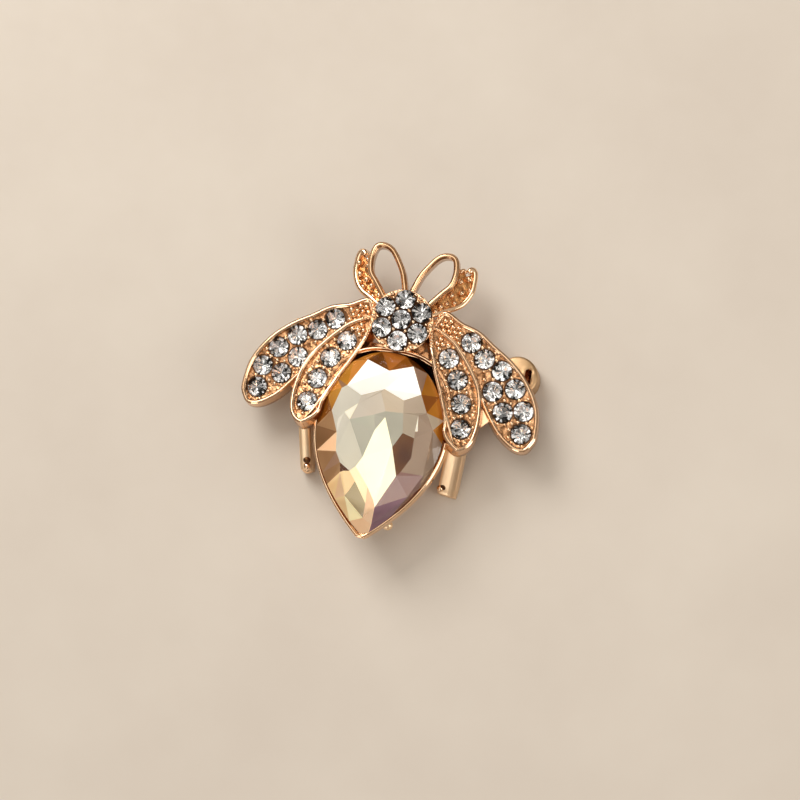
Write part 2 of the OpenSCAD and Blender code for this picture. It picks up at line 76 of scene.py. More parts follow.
# Prongs: the two stones that they stand between, and the side of that line.
PRONG_R = 0.23
OUTER_PRONGS = [
    (0, 1, 1), (1, 2, 1), (2, 3, 1), (3, 4, 1), (4, 5, 1), (0, 1, -1), (1, 2, -1),
    (3, 4, -1), (4, 5, -1), (6, 7, -1), (5, 7, 1), (2, 6, -1),
]
INNER_PRONGS = [(0, 1, 1), (0, 1, -1), (1, 2, 1), (1, 2, -1), (2, 3, 1), (2, 3, -1)]
ANTENNA = [
    (0.14, 1.35), (0.3, 1.9), (0.46, 2.34), (0.74, 2.81), (1.08, 3.26), (1.4, 3.46), (1.75, 3.48),
    (1.97, 3.3), (2.07, 2.85), (2.05, 2.4), (1.93, 2.03), (1.62, 1.66), (1.1, 1),
]
FORELEG = [(1.2, 0.55), (1.82, 0.93), (2.4, 1.25), (2.72, 1.58), (2.95, 2.1), (2.98, 2.6), (2.87, 3.14)]
FORELEG_HOOK = [(2.95, 2.95), (2.85, 3.15), (2.71, 3.15), (2.63, 3)]
FORELEG_CURL = [(2.24, 2.88), (2.31, 3.05), (2.41, 3.07), (2.47, 2.92)]
FORELEG_FLOOR = [
    (0.9, 0.85), (1.25, 0.6), (1.82, 0.96), (2.39, 1.28), (2.7, 1.6), (2.93, 2.11), (2.96, 2.6),
    (2.85, 3), (2.58, 2.8), (2.36, 3.1), (2.2, 2.75), (2.15, 2.3), (1.9, 1.9), (1.5, 1.5),
]


def deg(a):
    return math.radians(a)


def polar(r, a):
    return Vector((r * math.cos(deg(a)), r * math.sin(deg(a))))


def walk(start, steps):
    places = [start]
    for angle, length in steps:
        places.append(places[-1] + polar(PITCH * length, angle))
    return places


def blend(p, cuts):
    """A smooth curve through a row of points, without the first and the last of them."""
    out = []
    for a, b, c, d in zip(p, p[1:], p[2:], p[3:]):
        square, cube = 2 * a - 5 * b + 4 * c - d, 3 * b - a - 3 * c + d
        for t in [k / cuts for k in range(cuts)]:
            out.append(0.5 * (2 * b + (c - a) * t + square * t * t + cube * t ** 3))
    return out


def smooth_loop(p, cuts):
    return blend(p[-1:] + p + p[:2], cuts)


def smooth_line(p, cuts):
    return blend(p[:1] + p + p[-1:], cuts) + p[-1:]


def even(points, step, closed):
    """The same curve with points evenly spaced along it."""
    ring = points + [points[0]] if closed else points
    lengths = [0.0]
    for a, b in zip(ring, ring[1:]):
        lengths.append(lengths[-1] + (b - a).length)
    count = max(3, round(lengths[-1] / step))
    out = []
    j = 0
    for k in range(count if closed else count + 1):
        s = lengths[-1] * k / count
        while j < len(ring) - 2 and lengths[j + 1] < s:
            j += 1
        t = (s - lengths[j]) / max(lengths[j + 1] - lengths[j], 1e-9)
        out.append(ring[j].lerp(ring[j + 1], min(t, 1)))
    return out


def parallel(loop, d):
    n = len(loop)
    out = []
    for i in range(n):
        a = (loop[i] - loop[i - 1]).normalized()
        b = (loop[(i + 1) % n] - loop[i]).normalized()
        side = Vector((-(a.y + b.y), a.x + b.x))
        out.append(loop[i] - side * d / (1 + a.dot(b)))
    return out


# Each wing's first stone, by its distance outside the thorax and its angle, and the wings' tilts.
OUTER_OUT, OUTER_ANGLE = 4.2, -5.6
INNER_OUT, INNER_ANGLE = 3, -28.3
OUTER_TILT = 4
INNER_TILT, INNER_ROLL, INNER_BACK = 7, -9, 2.1

OUTER_ROW = walk(polar(THORAX_R + OUTER_OUT, OUTER_ANGLE), OUTER_STEPS)
OUTER_STONES = OUTER_ROW + walk(OUTER_ROW[2], OUTER_SIDE_STEPS)[1:]
INNER_STONES = walk(polar(THORAX_R + INNER_OUT, INNER_ANGLE), INNER_STEPS)
THORAX_STONES = [Vector((0, 0))] + [polar(PITCH, 90 - 60 * k) for k in range(6)]


def edge_points(rows, stones):
    return [stones[s] + polar(REACH_R * r, a) for s, a, r in rows]


def circle(r, count, twist=0):
    return [polar(r, 360 * k / count + twist) for k in range(count)]


def arc(step, count, first=0):
    """Cosine and sine at even steps of an angle in degrees."""
    return [(math.cos(deg(step * k)), math.sin(deg(step * k))) for k in range(first, first + count)]


def shift(x, y, z):
    return Matrix.Translation((x, y, z))


def turn(a, axis):
    return Matrix.Rotation(deg(a), 4, axis)


IDENTITY = Matrix.Identity(4)
MIRROR = Matrix.Scale(-1, 4, (1, 0, 0))
PLACE = shift(0, -MIDDLE_Y, 0)
OUTER_PLANE = shift(THORAX_R, 0, OUTER_Z) @ turn(OUTER_TILT, "Y") @ shift(-THORAX_R, 0, 0)
INNER_PLANE = shift(THORAX_R, -INNER_BACK, INNER_Z) @ turn(INNER_TILT, "Y") @ turn(INNER_ROLL, "X")
INNER_PLANE = INNER_PLANE @ shift(-THORAX_R, INNER_BACK, 0)


def side_matrix(side, inner=IDENTITY):
    return PLACE @ (inner if side > 0 else MIRROR @ inner)


# Materials: the range that a noise covers, and the part of it in which a colour drifts.
NOISE_LOW, NOISE_HIGH = 0.3, 0.7
DRIFT_LOW, DRIFT_HIGH = 0.34, 0.66


def srgb(r, g, b):
    def one(c):
        c /= 255
        return c / 12.92 if c <= 0.04045 else ((c + 0.055) / 1.055) ** 2.4

    return one(r), one(g), one(b)


class Tree:
    """The nodes of a material, or of the world, made in short calls."""

    def __init__(self, name, world=False):
        self.owner = bpy.data.worlds.new(name) if world else bpy.data.materials.new(name)
        self.owner.use_nodes = True
        self.tree = self.owner.node_tree
        self.tree.nodes.clear()
        self.out = self.tree.nodes.new("ShaderNodeOutputWorld" if world else "ShaderNodeOutputMaterial")
        self.coords = self.add("ShaderNodeTexCoord")

    def add(self, kind, inputs=None, **settings):
        """A new node's outputs. Each input, by name or number, is a socket or a fixed value."""
        node = self.tree.nodes.new(kind)
        for key, value in settings.items():
            setattr(node, key, value)
        for key, value in (inputs or {}).items():
            if isinstance(value, bpy.types.NodeSocket):
                self.tree.links.new(value, node.inputs[key])
            else:
                node.inputs[key].default_value = value
        return node.outputs

    def noise(self, scale, detail, rough=0.55):
        inputs = {"Scale": scale, "Detail": detail, "Roughness": rough, "Vector": self.coords["Object"]}
        return self.add("ShaderNodeTexNoise", inputs)["Fac"]

    def value(self, operation, *inputs):
        return self.add("ShaderNodeMath", dict(enumerate(inputs)), operation=operation)["Value"]

    def vector(self, operation, *inputs):
        return self.add("ShaderNodeVectorMath", dict(enumerate(inputs)), operation=operation)

    def split(self, vector):
        return self.add("ShaderNodeSeparateXYZ", {"Vector": vector})

    def ramp(self, fac, stops):
        r = self.tree.nodes.new("ShaderNodeValToRGB")
        while len(r.color_ramp.elements) < len(stops):
            r.color_ramp.elements.new(0.5)
        for e, (pos, colour) in zip(r.color_ramp.elements, stops):
            e.position = pos
            e.color = (*colour, 1)
        self.tree.links.new(fac, r.inputs["Fac"])
        return r.outputs["Color"]

    def span(self, fac, a, b):
        """A noise brought to the range from a to b."""
        inputs = {"Value": fac, "From Min": NOISE_LOW, "From Max": NOISE_HIGH, "To Min": a, "To Max": b}
        return self.add("ShaderNodeMapRange", inputs)["Result"]

    def done(self, shader):
        """Joins a shader to the output and gives the material or the world."""
        self.tree.links.new(shader[0], self.out.inputs["Surface"])
        return self.owner


FINE_SKIN = 0.45


def metal(name, light, dark, rough, bump, grain, edge=0.0, depth=0.04, drift=420):
    """Polished cast metal: the colour drifts slowly, roughness and a fine skin vary at the grain's scale."""
    t = Tree("rose_gold" + name)
    relief = {"Strength": bump, "Distance": depth * MM, "Height": t.noise(grain * FINE_SKIN, 3)}
    if edge:
        relief["Normal"] = t.add("ShaderNodeBevel", {"Radius": edge * MM}, samples=4)["Normal"]
    return t.done(t.add("ShaderNodeBsdfPrincipled", {
        "Metallic": 1,
        "Base Color": t.ramp(t.noise(drift, 3), [(DRIFT_LOW, dark), (DRIFT_HIGH, light)]),
        "Roughness": t.span(t.noise(grain, 5, 0.6), *rough),
        "Normal": t.add("ShaderNodeBump", relief)["Normal"],
    }))


gold = metal("", (0.94, 0.63, 0.4), (0.87, 0.53, 0.3), (0.13, 0.25), 0.08, 8000, edge=0.06)
gold_rim = metal("_rim", (0.98, 0.7, 0.46), (0.94, 0.62, 0.38), (0.06, 0.14), 0.03, 9000)
# The floor colour runs dark: partly the cast floor's own amber-brown, partly painted shade of the recess
# between rims, stones and grains.
gold_floor_and_painted_shade = metal("_floor", (0.66, 0.37, 0.19), (0.17, 0.075, 0.03), (0.16, 0.3), 0.8, 4600, 0, 0.12, 1700)
gold_grain = metal("_grain", (0.98, 0.73, 0.5), (0.9, 0.6, 0.36), (0.16, 0.24), 0.04, 9000)
# The dark groove colour is painted shade: laid round the stones, beside two left-wing stones, round the
# thorax stones and on dark balls at the feet.
gold_groove_painted_shade = metal("_groove", (0.15, 0.07, 0.03), (0.07, 0.03, 0.015), (0.3, 0.5), 0.1, 6000)
gold_hollow = metal("_hollow", (0.95, 0.52, 0.22), (0.42, 0.15, 0.04), (0.12, 0.24), 0.8, 4200, 0, 0.16, 1200)
gold_satin = metal("_satin", (1, 0.76, 0.5), (0.97, 0.69, 0.43), (0.34, 0.46), 0.05, 7000, 0.08)
gold_band = metal("_band", (0.8, 0.52, 0.31), (0.62, 0.37, 0.19), (0.14, 0.26), 0.06, 7000, 0.05)
gold_clasp = metal("_clasp", (0.62, 0.42, 0.24), (0.52, 0.34, 0.18), (0.42, 0.55), 0.08, 6000, 0.08)
# The hole's dark colour is painted shade inside the clasp's opening.
gold_hole_painted_shade = metal("_shade", (0.5, 0.17, 0.06), (0.18, 0.055, 0.02), (0.2, 0.34), 0.5, 5000, 0, 0.1, 1400)
gold_pin = metal("_pin", (0.94, 0.61, 0.36), (0.88, 0.53, 0.28), (0.2, 0.34), 0.1, 8000, 0.12)

# The small stones: wedges round the middle, painted light and dark as painted reflection, where the inner
# ring ends, and how much two stones differ.
WEDGES = 24
INNER_RING = 0.27
STONE_SPREAD = 97
LOOKS_DOWN = 0.03
CRYSTAL_PAINTED_REFLECTIONS = [
    (0.28, (0.012, 0.012, 0.012)), (0.35, (0.28, 0.27, 0.26)), (0.5, (0.64, 0.63, 0.61)), (0.64, (1, 1, 1)),
]


def crystal_material():
    """A clear brilliant: glass above its girdle, and silvered facets below it, light or dark by turns as
    painted reflection, with a glow that is painted light.
    """
    t = Tree("crystal")
    geometry = t.add("ShaderNodeNewGeometry")
    own = t.add("ShaderNodeObjectInfo")["Random"]
    # Wedges round the stone's middle, in two rings, each painted a light or dark shade of its own as painted
    # reflection.
    centred = t.vector("SUBTRACT", t.coords["Generated"], (0.5, 0.5, 0.5))["Vector"]
    flat = t.split(centred)
    around = t.value("ARCTAN2", flat["Y"], flat["X"])
    wedge = t.value("FLOOR", t.value("MULTIPLY_ADD", around, WEDGES / (2 * math.pi), own))
    reach = t.vector("LENGTH", t.vector("MULTIPLY", centred, (1, 1, 0))["Vector"])["Value"]
    outer = t.value("GREATER_THAN", reach, INNER_RING)
    key = t.add("ShaderNodeCombineXYZ", {0: wedge, 1: outer, 2: t.value("MULTIPLY", own, STONE_SPREAD)})
    chance = t.add("ShaderNodeTexWhiteNoise", {"Vector": key["Vector"]}, noise_dimensions="3D")["Value"]
    shade = t.ramp(chance, CRYSTAL_PAINTED_REFLECTIONS)
    # The silvered facets are those whose outer side looks down.
    flip = t.value("MULTIPLY_ADD", geometry["Backfacing"], -2, 1)
    outward = t.value("MULTIPLY", t.split(geometry["True Normal"])["Z"], flip)
    below = t.value("LESS_THAN", outward, LOOKS_DOWN)
    cloud = t.ramp(t.noise(900, 2), [(NOISE_LOW, (0.97, 0.97, 0.97)), (NOISE_HIGH, (1, 1, 1))])
    glass = t.add("ShaderNodeBsdfGlass", {"IOR": 1.6, "Roughness": 0.0, "Color": cloud})
    foil = t.add("ShaderNodeBsdfGlossy", {"Roughness": 0.12, "Color": shade})
    # The emission is painted light: the foil glows though it is no lamp.
    painted_glow = t.add("ShaderNodeEmission", {"Strength": 0.2, "Color": shade})
    both = t.add("ShaderNodeAddShader", {0: foil[0], 1: painted_glow[0]})
    return t.done(t.add("ShaderNodeMixShader", {0: below, 1: glass[0], 2: both[0]}))


crystal = crystal_material()
FACET_ROUGH, FACET_SCALE = 0.12, 260


def facet_material(name, a, b, painted_glow):
    """One tint of the big stone's foiled facets: two shades that drift into each other, the stone's colour
    with painted reflection, and a glow that is painted light.
    """
    t = Tree(name)
    drift = t.ramp(t.noise(FACET_SCALE, 2, 0.4), [(DRIFT_LOW, srgb(*a)), (DRIFT_HIGH, srgb(*b))])
    rough = t.span(t.noise(FACET_SCALE * 5, 2), FACET_ROUGH * 0.7, FACET_ROUGH * 1.5)
    inputs = {"Specular IOR Level": 0.25, "Base Color": drift, "Roughness": rough}
    if painted_glow:
        inputs.update({"Emission Color": drift, "Emission Strength": painted_glow})
    return t.done(t.add("ShaderNodeBsdfPrincipled", inputs))


def clear_material():
    """The big stone's clear skin: it passes light straight on and mirrors at its facets."""
    t = Tree("champagne_clear")
    tint = t.ramp(t.noise(300, 2), [(NOISE_LOW, (0.985, 0.975, 0.955)), (NOISE_HIGH, (1, 0.998, 0.99))])
    clear = t.add("ShaderNodeBsdfTransparent", {"Color": tint})
    shine = t.add("ShaderNodeBsdfGlossy", {"Roughness": 0.02})
    edge = t.add("ShaderNodeFresnel", {"IOR": 1.36})
    return t.done(t.add("ShaderNodeMixShader", {0: edge["Fac"], 1: clear[0], 2: shine[0]}))


# Mesh tools.
MERGE = 1e-5
INSIDE_ONLY = 1


def add_piece(name, points, faces, materials, matrix, smooth=True, kinds=None, flip=False):
    """One mesh piece from points in millimetres, placed by a matrix in millimetres."""
    mesh = bpy.data.meshes.new(name)
    flip = flip != (matrix.determinant() < 0)
    co = [tuple((matrix @ Vector(p)) * MM) for p in points]
    mesh.from_pydata(co, [], [tuple(reversed(f)) if flip else tuple(f) for f in faces])
    for m in materials:
        mesh.materials.append(m)
    for i, poly in enumerate(mesh.polygons):
        poly.use_smooth = smooth
        if kinds:
            poly.material_index = kinds[i]
    mesh.validate()
    mesh.update()
    piece = bpy.data.objects.new(name, mesh)
    scene.collection.objects.link(piece)
    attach(piece, "root")
    return piece


def loft(rings):
    """Points and faces of a skin through closed rings of equal length."""
    n = len(rings[0])
    points = [p for r in rings for p in r]
    faces = [(a, b, b + n, a + n) for j in range(len(rings) - 1) for a, b in ring_edges(j * n, n)]
    return points, faces


def cap(rings, first=False):
    """The face that closes a lofted skin at its last ring, or at its first."""
    n = len(rings[0])
    return list(range(n))[::-1] if first else [(len(rings) - 1) * n + k for k in range(n)]


def ball(r, rings=5, segments=8):
    """A small ball as points and faces, with its poles on Z."""
    points = [(0, 0, r)]
    for i in range(1, rings):
        a = math.pi * i / rings
        for k in range(segments):
            b = 2 * math.pi * k / segments
            points.append((r * math.sin(a) * math.cos(b), r * math.sin(a) * math.sin(b), r * math.cos(a)))
    points.append((0, 0, -r))
    faces = [(0, a, b) for a, b in ring_edges(1, segments)]
    for i in range(rings - 2):
        faces += [(a, a + segments, b + segments, b) for a, b in ring_edges(1 + i * segments, segments)]
    last = len(points) - 1
    base = 1 + (rings - 2) * segments
    faces += [(last, b, a) for a, b in ring_edges(base, segments)]
    return points, faces


def balls(places):
    """Many small balls in one mesh: each place gives x, y, z and radius."""
    points, faces = [], []
    for x, y, z, r in places:
        p, f = ball(r)
        base = len(points)
        points += [(x + q[0], y + q[1], z + q[2]) for q in p]
        faces += [tuple(base + i for i in g) for g in f]
    return points, faces


def inside(p, loop, margin=0):
    """Whether a point lies inside a loop, by a margin."""
    hit = False
    for i in range(len(loop)):
        a, b = loop[i - 1], loop[i]
        if (a.y > p.y) != (b.y > p.y) and p.x < (b.x - a.x) * (p.y - a.y) / (b.y - a.y) + a.x:
            hit = not hit
    return hit and (not margin or distance_to(p, loop) > margin)


def distance_to(p, loop):
    best = 1e9
    for i in range(len(loop)):
        a, b = loop[i - 1], loop[i]
        d = b - a
        t = max(0, min(1, (p - a).dot(d) / max(d.length_squared, 1e-12)))
        best = min(best, (a + d * t - p).length)
    return best


def nearest(p, stones):
    return min((p - s).length for s in stones)


def centre_of(flat, face):
    return (flat[face[0]] + flat[face[1]] + flat[face[2]]) / 3


def ring_edges(first, count):
    return [(first + k, first + (k + 1) % count) for k in range(count)]


def fill(verts, count):
    """Triangles through flat points, inside the closed ring that the first ones make."""
    flat, _, tris, *_ = delaunay_2d_cdt(verts, ring_edges(0, count), [list(range(count))], INSIDE_ONLY, MERGE)
    return flat, tris


# The wings' skins, in millimetres: how far they stand off the solid, and the height of the floor.
SKIN = 0.05
LIFT = 0.02
FLOOR = 0.1
EDGE_CUTS = 12
SKIN_STEP = 0.14
CREST_R = 0.12
# The rim's crest starts this far from the brooch's middle and is full after the second length.
CREST_START, CREST_FADE = 4, 0.8
WALL_BANDS = 6
# The floor: points round each seat, then a loose grid between the seats.
SEAT_POINTS = 26
SEAT_TWIST = 7
SEAT_CLEAR = 0.05
SEAT_HOLE = 1.0
OPEN_R, OPEN_CLEAR = 1.27, 0.08
FLOOR_STEP = 0.16
JITTER = 0.05
GROOVE_R, GROOVE_W, GROOVE_Z = 1.2, 0.15, 0.03
RELIEF, FLOOR_MIN = 0.05, 0.025
ROOT_FLAT = 0.9
# On the left wings two stones have a painted shadow beside them, in the groove's dark colour: a disc shifted
# so far, of this radius.
SHADE_SHIFT = Vector((-0.15, 0.06))
SHADE_R = 1.24
# Grains: beads over the rim's closed end, rows at the root and loose ones on the floor.
PRONG_OUT, PRONG_UP = 0.03, 0.05
BEAD_STEP, BEAD_REACH, BEAD_R, BEAD_SINK = 0.36, 4.4, 0.22, 0.04
GRAIN_PITCH, GRAIN_ROW = 0.62, 0.54
ROOT_MARGIN = 0.7
LOOSE_TRIES = 4200
ROOT_GRAIN, LOOSE_GRAIN = (0.29, 0.36), (0.18, 0.26)
SEAT_EDGE = 1.12
ROOT_CROWD, LOOSE_CROWD = 0.9, 1.5
FAR_R, FAR_SKIP = 1.45, 0.975


def wing_rim(name, outline, thick, matrix):
    """The drafted wall, and a rim with a narrow crest between two shoulders that fades out at the root."""
    top = RIM_H + LIFT
    under = -thick - 0.04
    # Each row of the section: how far out, how high, and how much the crest adds.
    section = [(WING_DRAFT - 0.5, under, 0), (WING_DRAFT - 0.1, under, 0)]
    section += [(WING_DRAFT + SKIN, -thick + 0.08, 0), (WING_DRAFT * 0.5 + SKIN, -thick * 0.4, 0)]
    section += [(SKIN, 0.1, 0), (SKIN, top - 0.07, 0), (0.02, top, 0)]
    section += [(-RIM_W / 2 + CREST_R * c, top, CREST_R * s) for c, s in arc(30, 7)]
    section += [(-RIM_W - 0.02, top, 0), (-RIM_W - SKIN, top - 0.07, 0), (-RIM_W - SKIN, FLOOR * 0.5, 0)]
    fade = [max(0, min(1, (p.length - CREST_START) / CREST_FADE)) for p in outline]
    rings = []
    for out, z, crest in section:
        rings.append([(p.x, p.y, z + crest * f) for p, f in zip(parallel(outline, out), fade)])
    points, faces = loft(rings)
    kinds = [int(i // len(outline) >= WALL_BANDS) for i in range(len(faces))]
    add_piece(name + "_rim", points, faces, [gold, gold_rim], matrix, kinds=kinds, flip=True)


def wing_floor(name, side, border, box, stones, matrix, local):
    """The cast floor inside the rim, darkened in part as painted shade, open under the stones, with a groove
    round each of them painted dark as painted shade, and painted shadow beside two stones on the left wings.
    """
    verts = [p.copy() for p in border]
    for s in stones:
        for r in (0.98, 1.08, 1.2, 1.24):
            for q in circle(r, SEAT_POINTS, SEAT_TWIST * r):
                p = s + q
                if inside(p, border, SEAT_CLEAR):
                    verts.append(p)
    low_x, high_x, low_y, high_y = box
    x = low_x
    while x < high_x:
        y = low_y
        while y < high_y:
            p = Vector((x + local.uniform(-JITTER, JITTER), y + local.uniform(-JITTER, JITTER)))
            if nearest(p, stones) > OPEN_R and inside(p, border, OPEN_CLEAR):
                verts.append(p)
            y += FLOOR_STEP
        x += FLOOR_STEP
    flat, tris = fill(verts, len(border))

    def height(p):
        near = nearest(p, stones)
        if p.length < stones[0].length - ROOT_FLAT:
            return GROOVE_Z
        if near < GROOVE_R:
            h = GROOVE_Z + (FLOOR - GROOVE_Z) * max(0, (near - STONE_R) / GROOVE_W)
        else:
            h = FLOOR
        h += RELIEF * math.sin(p.x * 8 + 2 * math.sin(p.y * 6)) * math.sin(p.y * 9) * (near > GROOVE_R)
        return max(h, FLOOR_MIN)

    faces = [f for f in tris if nearest(centre_of(flat, f), stones) > SEAT_HOLE]
    shaded = (0, 4) if len(stones) > 4 else (0, 2)
    # Faces in the groove round each stone, and beside two stones on the left wings, take the dark groove
    # colour as painted shade.
    kinds = []
    for f in faces:
        c = centre_of(flat, f)
        behind = min((c - stones[k] - SHADE_SHIFT).length for k in shaded)
        kinds.append(int(nearest(c, stones) < GROOVE_R or (behind < SHADE_R and side < 0)))
    used = sorted(set(i for f in faces for i in f))
    index = {v: i for i, v in enumerate(used)}
    faces = [tuple(index[i] for i in f) for f in faces]
    points = [(flat[i].x, flat[i].y, height(flat[i])) for i in used]
    add_piece(name + "_floor", points, faces, [gold_floor_and_painted_shade, gold_groove_painted_shade], matrix, kinds=kinds)


def wing_grains(name, outline, border, box, stones, prongs, matrix, local):
    """Prongs between the stones, beads over the rim's closed end, grains at the root and on the floor."""
    grains = []
    for i, j, way in prongs:
        half = (stones[j] - stones[i]) / 2
        away = math.sqrt(max(0, (STONE_R + PRONG_R) ** 2 - half.length_squared))
        across = Vector((-half.y, half.x)).normalized() * way
        grains.append((stones[i] + half + across * (away + PRONG_OUT), PRONG_R, STONE_LIFT + PRONG_UP))
    for p in even(parallel(outline, -RIM_W / 2), BEAD_STEP, True):
        if p.length < BEAD_REACH:
            grains.append((p, BEAD_R, RIM_H - BEAD_SINK))
    root_r = stones[0].length - ROOT_MARGIN
    tries = []
    for i in range(4, 16):
        for j in range(-15, 7):
            p = Vector((GRAIN_PITCH * i + GRAIN_PITCH / 2 * (j % 2), GRAIN_ROW * j))
            if p.length < root_r:
                tries.append((p, False))
    low_x, high_x, low_y, high_y = box
    for _ in range(LOOSE_TRIES):
        tries.append((Vector((local.uniform(low_x, high_x), local.uniform(low_y, high_y))), True))
    for p, loose in tries:
        root = p.length < root_r
        if root and loose:
            continue
        r = local.uniform(*(ROOT_GRAIN if root else LOOSE_GRAIN))
        near = nearest(p, stones)
        if near < SEAT_EDGE + r * 0.7 or not inside(p, border, r * 0.4):
            continue
        if any((p - g[0]).length < (r + g[1]) * (ROOT_CROWD if root else LOOSE_CROWD) for g in grains):
            continue
        if not root and near > FAR_R and local.random() < FAR_SKIP:
            continue
        grains.append((p, r, (GROOVE_Z + r * 0.6 if root else FLOOR + r * 0.4)))
    points, faces = balls([(p.x, p.y, z, r) for p, r, z in grains])
    add_piece(name + "_grains", points, faces, [gold_grain], matrix)


def wing(name, side, edge, stones, thick, plane, seed, prongs):
    """A wing's smooth skins: wall and rim, floor, and grains."""
    local = random.Random(seed)
    matrix = side_matrix(side, plane)
    outline = even(smooth_loop(edge_points(edge, stones), EDGE_CUTS), SKIN_STEP, True)
    border = parallel(outline, -RIM_W - SKIN)
    wing_rim(name, outline, thick, matrix)
    xs, ys = [p.x for p in border], [p.y for p in border]
    box = min(xs), max(xs), min(ys), max(ys)
    wing_floor(name, side, border, box, stones, matrix, local)
    wing_grains(name, outline, border, box, stones, prongs, matrix, local)


OUTER_SEED, INNER_SEED, FORELEG_SEED = 11, 21, 31
WINGS = [
    ("outer", OUTER_EDGE, OUTER_STONES, OUTER_T, OUTER_PLANE, OUTER_SEED, OUTER_PRONGS),
    ("inner", INNER_EDGE, INNER_STONES, INNER_T, INNER_PLANE, INNER_SEED, INNER_PRONGS),
]
for side, word in SIDES:
    for kind, edge, stones, thick, plane, seed, prongs in WINGS:
        wing(f"{word}_{kind}", side, edge, stones, thick, plane, seed + side, prongs)


# The camera, set so that its picture matches the photo's frame.
LENS, SENSOR = 150.0, 36.0
PICTURE = 800
PIXELS_PER_MM = 9.44
CAMERA_TURN = 10.19
BACK = Vector((0.16, -0.122, 1)).normalized()
RIGHT = Vector((math.cos(deg(CAMERA_TURN)), math.sin(deg(CAMERA_TURN)), 0))
RIGHT = (RIGHT - BACK * RIGHT.dot(BACK)).normalized()
UP = BACK.cross(RIGHT)
AIM = Vector((1.657, -0.831, 8.4))
REACH = PICTURE / PIXELS_PER_MM * LENS / SENSOR
EYE = AIM + BACK * REACH


def at_pixel(px, py, z):
    """The point at a height, in millimetres, that the camera shows at a pixel of its picture."""
    x = (px - PICTURE / 2) / PICTURE * SENSOR / LENS
    y = (PICTURE / 2 - py) / PICTURE * SENSOR / LENS
    ray = -BACK + RIGHT * x + UP * y
    return EYE + ray * ((z - EYE.z) / ray.z)


camera_data = bpy.data.cameras.new("camera")
camera_data.lens = LENS
camera_data.sensor_width = SENSOR
camera_data.clip_start = 0.01
camera_data.clip_end = 10
camera = bpy.data.objects.new("camera", camera_data)
basis = Matrix((RIGHT, UP, BACK)).transposed().to_4x4()
camera.matrix_world = Matrix.Translation(EYE * MM) @ basis
scene.collection.objects.link(camera)
scene.camera = camera

# The big stone.
TAIL_REACH = 0.985


def pear_outline(w, full, cuts):
    """A pear's outline: a full round head and a tail that runs to a blunt point."""
    points = []
    for k in range(cuts + 1):
        a = math.pi * k / cuts
        c = math.cos(a)
        x = w / 2 * math.copysign(abs(c) ** (2 / full), c)
        points.append(Vector((x, PEAR_HEAD * math.sin(a) ** (2 / full))))
    tail = []
    for k in range(1, cuts + 1):
        s = TAIL_REACH * k / cuts
        tail.append(Vector((w / 2 * (1 - s * s), -PEAR_TAIL * s)))
    points += [Vector((-p.x, p.y)) for p in tail]
    points += list(reversed(tail))
    return points


PEAR_PLACE = PLACE @ shift(0, PEAR_Y, 0) @ shift(0, -PEAR_TAIL, 0)
PEAR_PLACE = PEAR_PLACE @ turn(PEAR_TURN, "Z") @ shift(0, PEAR_TAIL, 0)
TABLE_Z = 8.32
GIRDLE_Z = 6.84
# The enlarged view of the picture: the pixel of its upper left corner, and how much larger it is.
CROP_LEFT, CROP_TOP, CROP_SCALE = 300, 340, 7.65


def crop(cx, cy, z):
    """A facet corner, read from the enlarged view of the picture, at a height."""
    return at_pixel(CROP_LEFT + cx / CROP_SCALE, CROP_TOP + cy / CROP_SCALE, z)


# Facet corners: name, place in the enlarged picture, height. The rim ones lie on the table's edge.
CORNERS = {
    "t1": (520, 148, 8.2), "t2": (683, 235, 8.2), "t3": (868, 203, 8.2), "t4": (928, 418, 8.2),
    "t5": (970, 560, 8.2), "t6": (1018, 690, 8.0), "t7": (1012, 835, 7.4), "t8": (940, 1040, 7.8),
    "t9": (820, 1200, 7.8), "t10": (570, 1280, 8.0), "t11": (545, 1410, 7.2), "t12": (480, 1360, 7.4),
    "t13": (340, 1190, 7.7), "t14": (305, 1010, 8.0), "t15": (305, 935, 8.1), "t16": (275, 850, 8.2),
    "t17": (280, 700, 8.2), "t18": (243, 535, 8.2), "t19": (320, 365, 8.2), "t20": (362, 345, 8.2),
    "a1": (470, 420, 7.5), "a2": (648, 375, 7.4), "a3": (795, 462, 7.5), "a4": (445, 485, 7.4),
    "a5": (340, 550, 7.6), "a6": (290, 600, 7.7), "a7": (380, 605, 7.4), "a8": (655, 545, 7.1),
    "a9": (790, 560, 7.4), "a10": (785, 712, 7.2), "a11": (652, 590, 7.0), "a12": (570, 690, 7.0),
    "a13": (478, 895, 7.0), "a14": (425, 965, 7.2), "a15": (378, 1000, 7.5), "a16": (705, 820, 6.9),
    "a17": (735, 1040, 7.1), "a18": (770, 1010, 7.2), "a19": (850, 905, 7.4), "a20": (873, 752, 7.5),
    "a21": (515, 1120, 7.3), "a22": (500, 1250, 7.5), "a23": (420, 1080, 7.5), "a24": (375, 1150, 7.6),
    "a25": (330, 1000, 7.8), "a26": (570, 570, 7.1), "a27": (560, 1225, 7.5), "a28": (905, 580, 7.7),
    "a29": (900, 700, 7.7), "a30": (880, 700, 7.6), "a31": (620, 400, 7.3),
}
